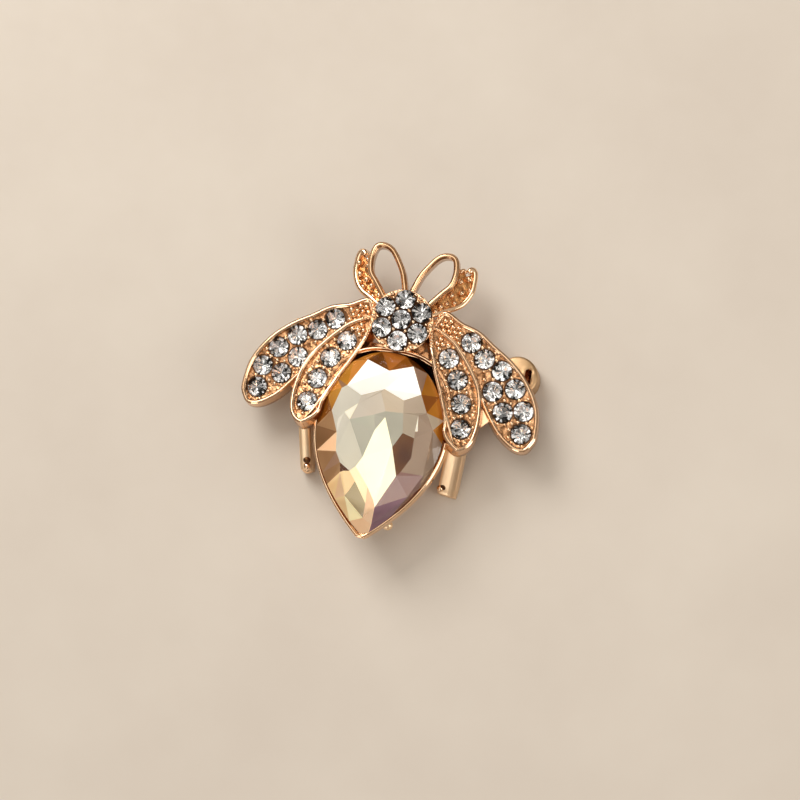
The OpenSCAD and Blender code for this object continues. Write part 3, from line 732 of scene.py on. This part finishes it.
FACETS = [
    ("white", "t1 t20 a1 a2 t2"), ("white", "t2 a2 a3 t4 t3"),
    ("cream", "t20 t19 t18 a6 a5 a4 a1"), ("flash", "a5 a7 a4"),
    ("beige", "a1 a4 a7 a26 a8 a31 a2"), ("sand", "a2 a31 a8 a9 a3"),
    ("rose", "a3 a9 a28 t5 t4"), ("grey", "a9 a10 a30 a28"), ("flash", "a28 a30 a29"),
    ("pearl", "a28 a29 t6 t5"), ("pearl", "a29 a30 a20 t6"), ("grey", "a10 a20 a30"),
    ("mist", "a7 a12 a26"), ("slate", "a26 a12 a11 a8"), ("slate", "a7 a13 a12"),
    ("cream", "t18 t17 a6"), ("cream", "a6 t17 t16 a7 a5"), ("linen", "a7 t16 t15 a15 a14 a13"),
    ("slate", "a8 a11 a16 a10 a9"),
    ("kite", "a11 a12 a13 a14 a21 a27 t10 a17 a16"),
    ("brown", "a10 a16 a17 a18 a19 a20"),
    ("pearl", "a20 a19 a18 t8 t7 t6"), ("lilac", "a18 a17 t10 t9 t8"), ("violet", "t10 t11 t9"),
    ("peach", "a21 a22 a27"), ("peach", "a22 t12 t11 t10 a27"),
    ("straw", "a14 a15 a23 a22 a21"), ("olive", "a23 a24 t13 t12 a22"),
    ("tan", "t14 t13 a24 a23 a15 a25"), ("brown", "t15 t14 a25 a15"),
]
# Crown facets, clockwise from the top left: the corner, its fan's tint and the tint of the triangle after it.
CROWN = [
    ("t1", "honey", "umber"), ("t2", "copper", "umber"), ("t3", "copper", "blush"), ("t4", "honey", "copper"),
    ("t5", "honey", "sand"), ("t6", "honey", "pearl"), ("t7", "pearl", "pearl"), ("t8", "pearl", "lilac"),
    ("t9", "lilac", "violet"), ("t11", "violet", "peach"), ("t12", "peach", "straw"), ("t13", "tan", "peach"),
    ("t14", "tan", "smoke"), ("t15", "smoke", "blush"), ("t16", "smoke", "peach"), ("t17", "dusk", "smoke"),
    ("t18", "umber", "amber"), ("t19", "honey", "dusk"), ("t20", "amber", "honey"),
]
# Each tint: two shades and a glow. The tints hold the stone's champagne and amber colours together with
# painted reflections and highlights, such as the white and flash facets; each glow is painted light.
TINTS_AND_PAINTED_REFLECTIONS = {
    "white": ((255, 255, 251), (252, 252, 246), 0.35), "flash": ((255, 253, 238), (250, 244, 222), 0.3),
    "cream": ((220, 215, 202), (212, 207, 194), 0.22), "linen": ((218, 213, 198), (212, 207, 192), 0.24),
    "beige": ((214, 200, 182), (206, 196, 182), 0.18), "sand": ((218, 200, 176), (208, 192, 170), 0.12),
    "rose": ((200, 180, 160), (190, 172, 152), 0.06), "grey": ((188, 174, 154), (196, 180, 160), 0.04),
    "slate": ((182, 180, 166), (192, 190, 176), 0.1), "mist": ((204, 202, 184), (190, 190, 174), 0.12),
    "kite": ((255, 254, 222), (255, 254, 234), 0.4), "brown": ((88, 44, 4), (130, 80, 30), 0),
    "pearl": ((180, 156, 136), (170, 146, 126), 0.02), "lilac": ((156, 116, 100), (148, 110, 104), 0.02),
    "violet": ((164, 130, 138), (150, 118, 136), 0.04), "peach": ((248, 214, 176), (240, 200, 160), 0.2),
    "straw": ((255, 246, 208), (252, 236, 186), 0.3), "olive": ((186, 170, 134), (200, 184, 148), 0.04),
    "tan": ((252, 222, 172), (244, 206, 152), 0.22), "amber": ((200, 146, 54), (174, 114, 32), 0.03),
    "honey": ((222, 152, 58), (192, 122, 38), 0.06), "copper": ((190, 118, 50), (160, 94, 34), 0),
    "umber": ((156, 94, 30), (124, 70, 20), 0), "dusk": ((162, 120, 84), (140, 102, 68), 0.02),
    "smoke": ((202, 160, 118), (182, 140, 100), 0.03), "blush": ((204, 166, 138), (190, 152, 126), 0),
}


# The girdle's width and lean on the stone's right and left, its narrower head and its longer tail.
GIRDLE_FULL, GIRDLE_CUTS = 2.1, 90
RIGHT_WIDE, LEFT_WIDE, HEAD_NARROW = 1.105, 1.04, 0.05
RIGHT_LEAN, LEFT_LEAN = 0.42, 0.1
TAIL_LONG = 1.01
CROWN_DOWN, CROWN_UP = 0.3, 0.1
CULET_Y, CULET_DEPTH = -1.5, 3.9


def girdle_outline():
    """The stone's widest line: out over the cup's lip along the flanks, short of it round the head."""
    out = []
    for p in pear_outline(PEAR_W, GIRDLE_FULL, GIRDLE_CUTS):
        head = max(0, min(1, (p.y - 1) / 4))
        wide = (RIGHT_WIDE if p.x > 0 else LEFT_WIDE) - HEAD_NARROW * head
        lean = (RIGHT_LEAN if p.x > 0 else LEFT_LEAN) * max(0, -p.y / PEAR_TAIL) ** 2
        out.append(Vector((p.x * wide + lean, p.y * (1 if p.y > 0 else TAIL_LONG))))
    return out


def crown(points, index, at_height, below):
    """Crown facets from the table down to the girdle: a fan below each corner, a triangle between two."""
    ring = [PEAR_PLACE @ Vector((p.x, p.y, at_height)) for p in girdle_outline()]
    centre = PEAR_PLACE @ Vector((0, 0, at_height))

    def angle(p):
        return math.atan2(p.y - centre.y, p.x - centre.x)

    def apart(i, c):
        return abs(math.remainder(angle(ring[i]) - angle(points[c]), 2 * math.pi))

    ring.sort(key=lambda p: -angle(p))
    n = len(ring)
    corners = [index[c[0]] for c in CROWN]
    near = [min(range(n), key=lambda i: apart(i, c)) for c in corners]
    middle = []
    for k, s in enumerate(near):
        ahead = (near[(k + 1) % len(near)] - s) % n
        middle.append((s + max(1, ahead // 2)) % n)
    faces, kinds = [], []
    low = {}
    for i in middle:
        low[i] = len(points)
        points.append(ring[i])
    rims = []
    for k, (c, mid) in enumerate(zip(corners, middle)):
        before = middle[k - 1]
        a, b, top = ring[before], ring[mid], points[c]
        normal = (a - top).cross(b - top)
        chain = [low[before]]
        count = (mid - before) % n
        for j in range(1, count):
            if j % 2 == 0 and count > 3:
                continue
            q = ring[(before + j) % n].copy()
            q.z = top.z - ((q.x - top.x) * normal.x + (q.y - top.y) * normal.y) / normal.z
            q.z = max(at_height - CROWN_DOWN, min(at_height + CROWN_UP, q.z))
            chain.append(len(points))
            points.append(q)
        chain.append(low[mid])
        for u, v in zip(chain, chain[1:]):
            faces.append([c, v, u])
            kinds.append(CROWN[k][1])
        faces.append([c, corners[(k + 1) % len(corners)], low[mid]])
        kinds.append(CROWN[k][2])
        rims += chain[:-1]
    # The girdle's side and the closed underside, tinted copper and dark umber as painted shade in the gap
    # round the stone.
    base = len(points)
    points += [Vector((points[i].x, points[i].y, below)) for i in rims]
    bottom = len(points)
    points.append(PEAR_PLACE @ Vector((0, CULET_Y, PEAR_Z - CULET_DEPTH)))
    for k, m in ring_edges(0, len(rims)):
        faces += [[rims[k], rims[m], base + m, base + k], [base + k, base + m, bottom]]
        kinds += ["copper", "umber"]
    return faces, kinds


def face_up(keys, index, points):
    """The facet between these corners, turned so that it looks up."""
    face = [index[k] for k in keys.split()]
    a = [points[k] for k in face]
    area = sum(a[k - 1].x * a[k].y - a[k].x * a[k - 1].y for k in range(len(a)))
    return face[::-1] if area < 0 else face


def big_stone():
    """The abdomen's foiled facets as the picture shows them, one tint to a facet, their reflections and
    highlights painted into the tints.
    """
    names = list(TINTS_AND_PAINTED_REFLECTIONS)
    materials = [facet_material("champagne_" + n, a, b, g) for n, (a, b, g) in TINTS_AND_PAINTED_REFLECTIONS.items()]
    points, index = [], {}
    for key, (cx, cy, z) in CORNERS.items():
        index[key] = len(points)
        points.append(crop(cx, cy, z))
    faces = [face_up(keys, index, points) for _, keys in FACETS]
    more, tints = crown(points, index, GIRDLE_Z, GIRDLE_Z - 0.4)
    numbers = [names.index(k) for k in [tint for tint, _ in FACETS] + tints]
    return add_piece("abdomen_foil", points, faces + more, materials, IDENTITY, False, numbers)


foil = big_stone()
TABLE = "t1 t20 t19 t18 t17 t16 t15 t14 t13 t10 t9 t8 t6 t5 t4 t3 t2"
UNDER_TABLE = ["t6 t8 t7", "t9 t10 t11", "t10 t13 t12 t11"]
CLEAR_RISE, CLEAR_OUT = 0.08, 0.03


def clear_skin():
    """The clear crown over the facets: a flat table with the same corners and facets down to the girdle."""
    points, index = [], {}
    for key, (cx, cy, z) in CORNERS.items():
        if key[0] == "t":
            index[key] = len(points)
            points.append(crop(cx, cy, TABLE_Z if key in TABLE.split() else z + CLEAR_RISE))
    faces = [face_up(keys, index, points) for keys in [TABLE] + UNDER_TABLE]
    start = len(points)
    more, _ = crown(points, index, GIRDLE_Z + 0.06, GIRDLE_Z - 0.3)
    centre = PEAR_PLACE @ Vector((0, 0, GIRDLE_Z))
    for i in range(start, len(points) - 1):
        out = Vector((points[i].x - centre.x, points[i].y - centre.y)).normalized() * CLEAR_OUT
        points[i] = Vector((points[i].x + out.x, points[i].y + out.y, points[i].z))
    add_piece("abdomen_clear", points, faces + more, [clear_material()], IDENTITY, False)


clear_skin()
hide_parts("pear_stone")

# The cup's lip and the tail nub.
CUP_FULL, CUP_CUTS, LIP_STEP = 2.7, 60, 0.2
CUP_EDGE, LIP_RISE = 0.15, 0.15
OVER_STEP = 0.3
NUB_X, NUB_ALONG, NUB_DEPTH = 1.35, 0.83, 3
NUB_PIXEL = (387.6, 525.2)
NUB_R = 0.56


def cup_lip():
    outline = even(pear_outline(CUP_W, CUP_FULL, CUP_CUTS), LIP_STEP, True)
    top = PEAR_Z + CUP_EDGE + LIP_RISE
    outer = CUP_GAP + CUP_WALL + 0.03
    section = [(outer, top - 1.4), (outer, top - 0.1), (outer - 0.05, top + 0.01)]
    section += [(0.36 + 0.1 * c, top + 0.01 + 0.09 * s) for c, s in arc(30, 7)]
    section += [(CUP_GAP, top + 0.01), (CUP_GAP - 0.03, top - 0.6)]
    points, faces = loft([[(p.x, p.y, z) for p in parallel(outline, d)] for d, z in section])
    # Where the lip runs over an inner wing it has the wing floor's finish and no crest.
    edge = even(smooth_loop(edge_points(INNER_EDGE, INNER_STONES), EDGE_CUTS), OVER_STEP, True)
    over = [inside(Vector((abs(p.x), p.y + PEAR_Y)), edge) for p in outline]
    n = len(outline)
    points = [(x, y, min(z, top + 0.01) if over[k % n] else z) for k, (x, y, z) in enumerate(points)]
    kinds = [int(over[k % n]) for k in range(len(faces))]
    place = PLACE @ shift(0, PEAR_Y, 0)
    add_piece("cup_lip", points, faces, [gold_rim, gold_floor_and_painted_shade], place, kinds=kinds, flip=True)


cup_lip()


def tail_nub():
    """The round-ended tail nub, from its seat low on the cup out to where the picture shows its end."""
    seat = Vector((NUB_X, PEAR_Y - PEAR_TAIL * NUB_ALONG - MIDDLE_Y, PEAR_Z - NUB_DEPTH))
    end = at_pixel(*NUB_PIXEL, seat.z)
    reach = (end - seat).length
    profile = [(-0.6, 0.1), (-0.5, 0.36), (-0.28, 0.56), (0, 0.62), (reach * 0.5, 0.5), (reach, NUB_R)]
    profile += [(reach + NUB_R * math.sin(deg(a)), NUB_R * math.cos(deg(a))) for a in (25, 50, 70, 84)]
    rings = [[(r * c, r * s, d) for c, s in arc(22.5, 16)] for d, r in profile]
    points, faces = loft(rings)
    faces += [cap(rings, first=True), cap(rings)]
    aim = (end - seat).to_track_quat("Z", "Y").to_matrix().to_4x4()
    add_piece("tail_nub_peg", points, faces, [gold_satin], shift(*seat) @ aim)


tail_nub()

# Antennae and forelegs: how far a band stands off its solid, then the sizes.
TUBE_GROW = 0.04
LINE_CUTS = 8
ANTENNA_W, ANTENNA_T, ANTENNA_CREST = 0.52, 1.3, 0.18
BAR_W, BAR_T = 0.54, 1
CURL_W, CURL_LOW, CURL_TOP = 0.3, -0.7, -0.06
FORELEG_DROP, FORELEG_TILT = 1.2, 18
HOLLOW_Z = -0.34
FORELEG_TRIES = 1500
FORELEG_GRAIN = (0.28, 0.42)
HOLLOW_STEP = 0.25
FORELEG_PLANE = shift(THORAX_R, 0, ANTENNA_Z - FORELEG_DROP) @ turn(FORELEG_TILT, "Y")
FORELEG_PLANE = FORELEG_PLANE @ shift(-THORAX_R, 0, 0)


def tube(name, rows, width, z0, z1, matrix, material, crest=0.11):
    """A smooth band along a line, with a narrow crest on its top edge and closed ends."""
    line = even(smooth_line([Vector(p) * PITCH for p in rows], LINE_CUTS), SKIN_STEP, False)
    w = width / 2 + TUBE_GROW
    section = [(w, z0 - TUBE_GROW), (w, z1 - 0.12), (w - 0.03, z1 + 0.01)]
    section += [((w - 0.09) * c, z1 + 0.02 + crest * s) for c, s in arc(22.5, 9)]
    section += [(-w + 0.03, z1 + 0.01), (-w, z1 - 0.12), (-w, z0 - TUBE_GROW)]
    rings = []
    for i, p in enumerate(line):
        d = (line[min(i + 1, len(line) - 1)] - line[max(i - 1, 0)]).normalized()
        side = Vector((-d.y, d.x))
        rings.append([(p.x - side.x * s, p.y - side.y * s, z) for s, z in section])
    points, faces = loft(rings)
    faces += [cap(rings, first=True), cap(rings)]
    add_piece(name, points, faces, [material], matrix, flip=True)


def foreleg(word, side):
    """A foreleg's bar and curl, and the grained hollow between them."""
    m = side_matrix(side, FORELEG_PLANE)
    tube(word + "_foreleg_bar", FORELEG[:-1] + FORELEG_HOOK, BAR_W, -BAR_T, 0, m, gold_rim)
    tube(word + "_foreleg_curl", FORELEG_CURL, CURL_W, CURL_LOW, CURL_TOP, m, gold_rim)
    loop = [Vector(p) * PITCH for p in FORELEG_FLOOR]
    local = random.Random(FORELEG_SEED + side)
    places = []
    for _ in range(FORELEG_TRIES):
        p = Vector((local.uniform(2, 6.8), local.uniform(1, 7)))
        r = local.uniform(*FORELEG_GRAIN)
        if inside(p, loop, 0.2) and all((p - Vector(q[:2])).length > (r + q[3]) * 1.12 for q in places):
            places.append((p.x, p.y, HOLLOW_Z + r * 0.5, r))
    points, faces = balls(places)
    add_piece(word + "_foreleg_grains", points, faces, [gold_grain], m)
    grid = [Vector((HOLLOW_STEP * i, HOLLOW_STEP * j)) for i in range(7, 28) for j in range(4, 29)]
    verts = list(loop) + [p for p in grid if inside(p, loop, 0.1)]
    flat, tris = fill(verts, len(loop))
    points = [(p.x, p.y, HOLLOW_Z + 0.03 * math.sin(7 * p.x) * math.sin(6 * p.y)) for p in flat]
    add_piece(word + "_foreleg_floor", points, tris, [gold_hollow], m)


for side, word in SIDES:
    low = ANTENNA_Z - ANTENNA_T
    matrix = side_matrix(side)
    tube(word + "_antenna_band", ANTENNA, ANTENNA_W, low, ANTENNA_Z, matrix, gold_band, crest=ANTENNA_CREST)
    foreleg(word, side)

# Legs and feet. The tables give the heights of a leg's top and underside along it.
LEG_TOP = [(0, INNER_Z), (LEG_L * 0.35, INNER_Z - 0.9), (LEG_L - 0.5, 2.2), (LEG_L, 1.7)]
LEG_LOW = [(0, INNER_Z - 2.1), (LEG_L * 0.3, INNER_Z - 3.2), (LEG_L - 1.1, 0), (LEG_L, 0)]
LEG_TURN = -7
LEG_STATIONS = 26
LEG_GROW, LEG_RISE = 0.04, 0.03


def level(table, along):
    """A height from a table, at a distance along the leg."""
    for (a, za), (b, zb) in zip(table, table[1:]):
        if along <= b:
            return za + (zb - za) * (along - a) / (b - a)
    return table[-1][1]


def leg(name, side, width, out, round_r, ridge):
    """A smooth leg over the plain one, from under the wing down to its foot."""
    root = INNER_STONES[3]
    m = side_matrix(side, shift(root.x + out, root.y, 0) @ turn(LEG_TURN, "Z"))
    w = width / 2 + LEG_GROW
    rings = []
    for k in range(LEG_STATIONS + 1):
        along = LEG_L * k / LEG_STATIONS
        top = level(LEG_TOP, along) + LEG_RISE
        low = max(level(LEG_LOW, along), 0.0)
        section = [(w, low), (w, top - 0.12), (w - 0.06, top + 0.01)]
        if ridge:
            section += [(w * 0.42, top + 0.03), (w * 0.3, top + ridge), (w * 0.1, top + ridge * 1.2)]
            section += [(-w * 0.6, top + ridge * 0.9), (-w * 0.9, top + ridge * 0.4)]
        else:
            section += [(w * c, top + 0.02 + round_r * s) for c, s in arc(22.5, 7, 1)]
        section += [(-w + 0.06, top + 0.01), (-w, top - 0.12), (-w, low)]
        rings.append([(x, -along, z) for x, z in section])
    end = rings[-1]
    cx = sum(p[0] for p in end) / len(end)
    cz = sum(p[2] for p in end) / len(end)
    for shrink, ahead in ((0.94, 0.06), (0.8, 0.1)):
        ring = [(cx + (p[0] - cx) * shrink, max(cz + (p[2] - cz) * shrink, 0)) for p in end]
        rings.append([(x, -LEG_L - ahead, z) for x, z in ring])
    points, faces = loft(rings)
    add_piece(name + "_skin", points, faces + [cap(rings)], [gold_satin], m)
    return m


def foot_ball(name, r, place, material, matrix, rings=8, segments=14):
    """A small ball at a foot, placed from the leg's end, with nothing of it under the surface."""
    side, ahead, up = place
    points, faces = ball(r, rings, segments)
    points = [(x + side, y + ahead - LEG_L, max(z + up, 0.0)) for x, y, z in points]
    add_piece(name, points, faces, [material], matrix)


left = leg("left_leg", -1, width=1.2, out=0.5, round_r=0.3, ridge=0)
foot_ball("left_foot_ball", 0.74, (0, 0.34, 0.68), gold_rim, left, 12, 20)
foot_ball("left_foot_bead", 0.45, (-0.15, 0.24, 2.3), gold_rim, left)
# The dark balls beside the feet are painted shade.
foot_ball("left_foot_groove", 0.42, (-0.15, 0.9, 2.72), gold_groove_painted_shade, left)
right = leg("right_leg", 1, width=1.86, out=0, round_r=0, ridge=0.09)
foot_ball("right_foot_bead", 0.4, (-0.72, 0.42, 2.16), gold_rim, right)
foot_ball("right_foot_groove", 0.4, (-0.44, 0.7, 2.2), gold_groove_painted_shade, right)

# The thorax.
MIDDLE_GRAIN_R, GRAIN_SINK = 0.2, 0.4
GROOVE_POINTS = 40
THORAX_DROP, THORAX_TILT = 0.3, 7
BASE_R, BASE_POINTS, BASE_INNER = 3.38, 72, 3.3
BASE_RING_POINTS = 36
BASE_HOLE, BASE_GROOVE = 1.07, 1.22
BASE_SINK, BASE_EDGE, BASE_EDGE_SINK = 0.58, 3.37, 0.06


def thorax():
    """Grains between the thorax's stones, grooves round them painted dark as painted shade, and the sunken
    base under them, darkened in part as painted shade.
    """
    gaps = [60 - 60 * k for k in range(6)]
    places = []
    for gap in gaps:
        p = polar(PITCH / math.sqrt(3), gap)
        places.append((p.x, p.y, THORAX_Z + LIFT, MIDDLE_GRAIN_R))
        for turn_by, out, r in ((-12, 1.38, 0.2), (0, 1.41, 0.26), (12, 1.38, 0.2), (0, 1.18, 0.2)):
            q = polar(PITCH * out, gap + turn_by)
            places.append((q.x, q.y, THORAX_Z - GRAIN_SINK, r))
    points, faces = balls(places)
    add_piece("thorax_grains", points, faces, [gold_grain], PLACE)

    # The grooves round the thorax stones are dark rings laid as painted shade.
    points, faces = [], []
    for k, s in enumerate(THORAX_STONES):
        seat = shift(0, 0, THORAX_Z)
        if k:
            seat = shift(s.x, s.y, THORAX_Z - THORAX_DROP) @ turn(90 - 60 * (k - 1), "Z")
            seat = seat @ turn(THORAX_TILT, "Y")
        base = len(points)
        for r, z in ((0.99, 0.005), (1.115, 0.02), (1.125, -0.25)):
            points += [seat @ Vector((*p, z)) for p in circle(r, GROOVE_POINTS)]
        for row in (0, GROOVE_POINTS):
            for a, b in ring_edges(base + row, GROOVE_POINTS):
                faces.append((a, a + GROOVE_POINTS, b + GROOVE_POINTS, b))
    add_piece("thorax_grooves", points, faces, [gold_groove_painted_shade], PLACE)

    verts = circle(BASE_R, BASE_POINTS)
    for c in THORAX_STONES[1:]:
        for r in (1.09, 1.22):
            ring = [c + p for p in circle(r, BASE_RING_POINTS)]
            verts += [p for p in ring if p.length < BASE_INNER and nearest(p, THORAX_STONES) > r - 0.005]
    for gap in gaps:
        verts += [polar(PITCH / math.sqrt(3), gap), polar(3.2, gap), polar(2.9, gap)]
    flat, tris = fill(verts, BASE_POINTS)
    faces = [f for f in tris if nearest(centre_of(flat, f), THORAX_STONES) > BASE_HOLE]
    # Base faces next to the stones take the dark groove colour: painted shade.
    kinds = [int(nearest(centre_of(flat, f), THORAX_STONES) < BASE_GROOVE) for f in faces]
    top = THORAX_Z - BASE_SINK
    points = [(p.x, p.y, top - (BASE_EDGE_SINK if p.length > BASE_EDGE else 0)) for p in flat]
    add_piece("thorax_base", points, faces, [gold_floor_and_painted_shade, gold_groove_painted_shade], PLACE, kinds=kinds)


thorax()

# The clasp's end: its dome, its opening and the lip round that.
CLASP_X, CLASP_Y = 12.8, -3.2
CLASP_R, CLASP_POINTS = 2.13, 48
CLASP_Z, CLASP_DOME = 3.22, 0.3
CLASP_TWIST = 40
HOLE_X, HOLE_R, HOLE_POINTS = 1.15, 0.36, 24
HOLE_STRETCH, HOLE_FLOOR = 0.6, 2.6
LIP_H, LIP_OUT, LIP_W = 0.16, 0.1, 0.12


def clasp():
    """The clasp's domed end beside the right wing, with its oval opening and a raised lip round it; the
    opening's wall and floor are dark as painted shade.
    """
    hole = []
    for p in circle(HOLE_R, HOLE_POINTS):
        stretch = HOLE_STRETCH if p.y > 0.01 else -HOLE_STRETCH if p.y < -0.01 else 0
        hole.append(Vector((HOLE_X + p.x, p.y + stretch)))
    verts = circle(CLASP_R, CLASP_POINTS) + hole
    for r in (1.95, 1.6, 1.2, 0.8, 0.4):
        for p in circle(r, HOLE_POINTS, CLASP_TWIST * r):
            if not inside(p, hole) and distance_to(p, hole) > 0.08:
                verts.append(p)
    edges = ring_edges(0, CLASP_POINTS) + ring_edges(CLASP_POINTS, HOLE_POINTS)
    flat, _, tris, *_ = delaunay_2d_cdt(verts, edges, [], 0, MERGE)
    faces = [f for f in tris if not inside(centre_of(flat, f), hole)]

    def high(p):
        lip = LIP_H * math.exp(-((distance_to(p, hole) - LIP_OUT) / LIP_W) ** 2)
        return CLASP_Z + CLASP_DOME * (1 - (p.length / CLASP_R) ** 2) + lip

    points = [(p.x, p.y, high(p)) for p in flat]
    rows = [range(CLASP_POINTS)]
    for r, z in ((2.19, 3.1), (2.2, 2.9), (2.2, 0.02)):
        rows.append(range(len(points), len(points) + CLASP_POINTS))
        points += [(*p, z) for p in circle(r, CLASP_POINTS)]
    for upper, lower in zip(rows, rows[1:]):
        for k, m in ring_edges(0, CLASP_POINTS):
            faces.append((upper[k], lower[k], lower[m], upper[m]))
    kinds = [0] * len(faces)
    first = len(points)
    points += [(p.x, p.y, HOLE_FLOOR) for p in hole]
    for k, m in ring_edges(0, HOLE_POINTS):
        faces.append((CLASP_POINTS + k, CLASP_POINTS + m, first + m, first + k))
    faces.append(tuple(range(first, first + HOLE_POINTS)))
    # The opening's wall and floor take the dark colour: painted shade.
    kinds += [1] * (HOLE_POINTS + 1)
    place = PLACE @ shift(CLASP_X, CLASP_Y, 0)
    add_piece("clasp_dome", points, faces, [gold_clasp, gold_hole_painted_shade], place, kinds=kinds)


clasp()

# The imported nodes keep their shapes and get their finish.
for name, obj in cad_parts.items():
    material = gold if name == "casting" else gold_pin if name == "pin_back" else crystal
    if name != "pear_stone":
        for s in obj.material_slots:
            s.material = material

# The stage: a pale floor, a dim room and four soft lights.
FLOOR_TONES = [(NOISE_LOW, srgb(206, 196, 184)), (NOISE_HIGH, srgb(213, 204, 192))]
ROOM_TONES = [(0.0, (0.1, 0.075, 0.055)), (0.35, (0.15, 0.12, 0.1)), (1.0, (0.62, 0.57, 0.5))]
LIGHT_AIM = Vector((0, 0, 5))

pale = Tree("pale_floor")
pale_shader = pale.add("ShaderNodeBsdfPrincipled", {
    "Base Color": pale.ramp(pale.noise(40, 3), FLOOR_TONES),
    "Roughness": pale.span(pale.noise(600, 3), 0.6, 0.75),
})
floor_mesh = bpy.data.meshes.new("floor")
far = 1.5
floor_mesh.from_pydata([(-far, -far, 0), (far, -far, 0), (far, far, 0), (-far, far, 0)], [], [(0, 1, 2, 3)])
floor_mesh.materials.append(pale.done(pale_shader))
floor = bpy.data.objects.new("floor", floor_mesh)
scene.collection.objects.link(floor)

room = Tree("studio", world=True)
room_height = room.split(room.coords["Generated"])["Z"]
scene.world = room.done(room.add("ShaderNodeBackground", {"Color": room.ramp(room_height, ROOM_TONES)}))


def softbox(name, place, size, radiance, colour=(1, 0.97, 0.93)):
    """A square soft light at a place in millimetres, facing the brooch, by how bright it looks."""
    data = bpy.data.lights.new(name, "AREA")
    data.shape = "SQUARE"
    data.size = size * MM
    data.energy = radiance * math.pi * (size * MM) ** 2
    data.color = colour
    obj = bpy.data.objects.new(name, data)
    obj.location = Vector(place) * MM
    obj.rotation_euler = (LIGHT_AIM - Vector(place)).to_track_quat("-Z", "Y").to_euler()
    scene.collection.objects.link(obj)


softbox("key", (-170, 190, 260), 190, 7.6)
softbox("top", (-40, 60, 420), 240, 1.5)
softbox("fill", (300, -60, 170), 150, 4.6, (1, 0.96, 0.92))
softbox("low", (-60, -320, 150), 120, 3.0)

scene.view_settings.view_transform = "Standard"
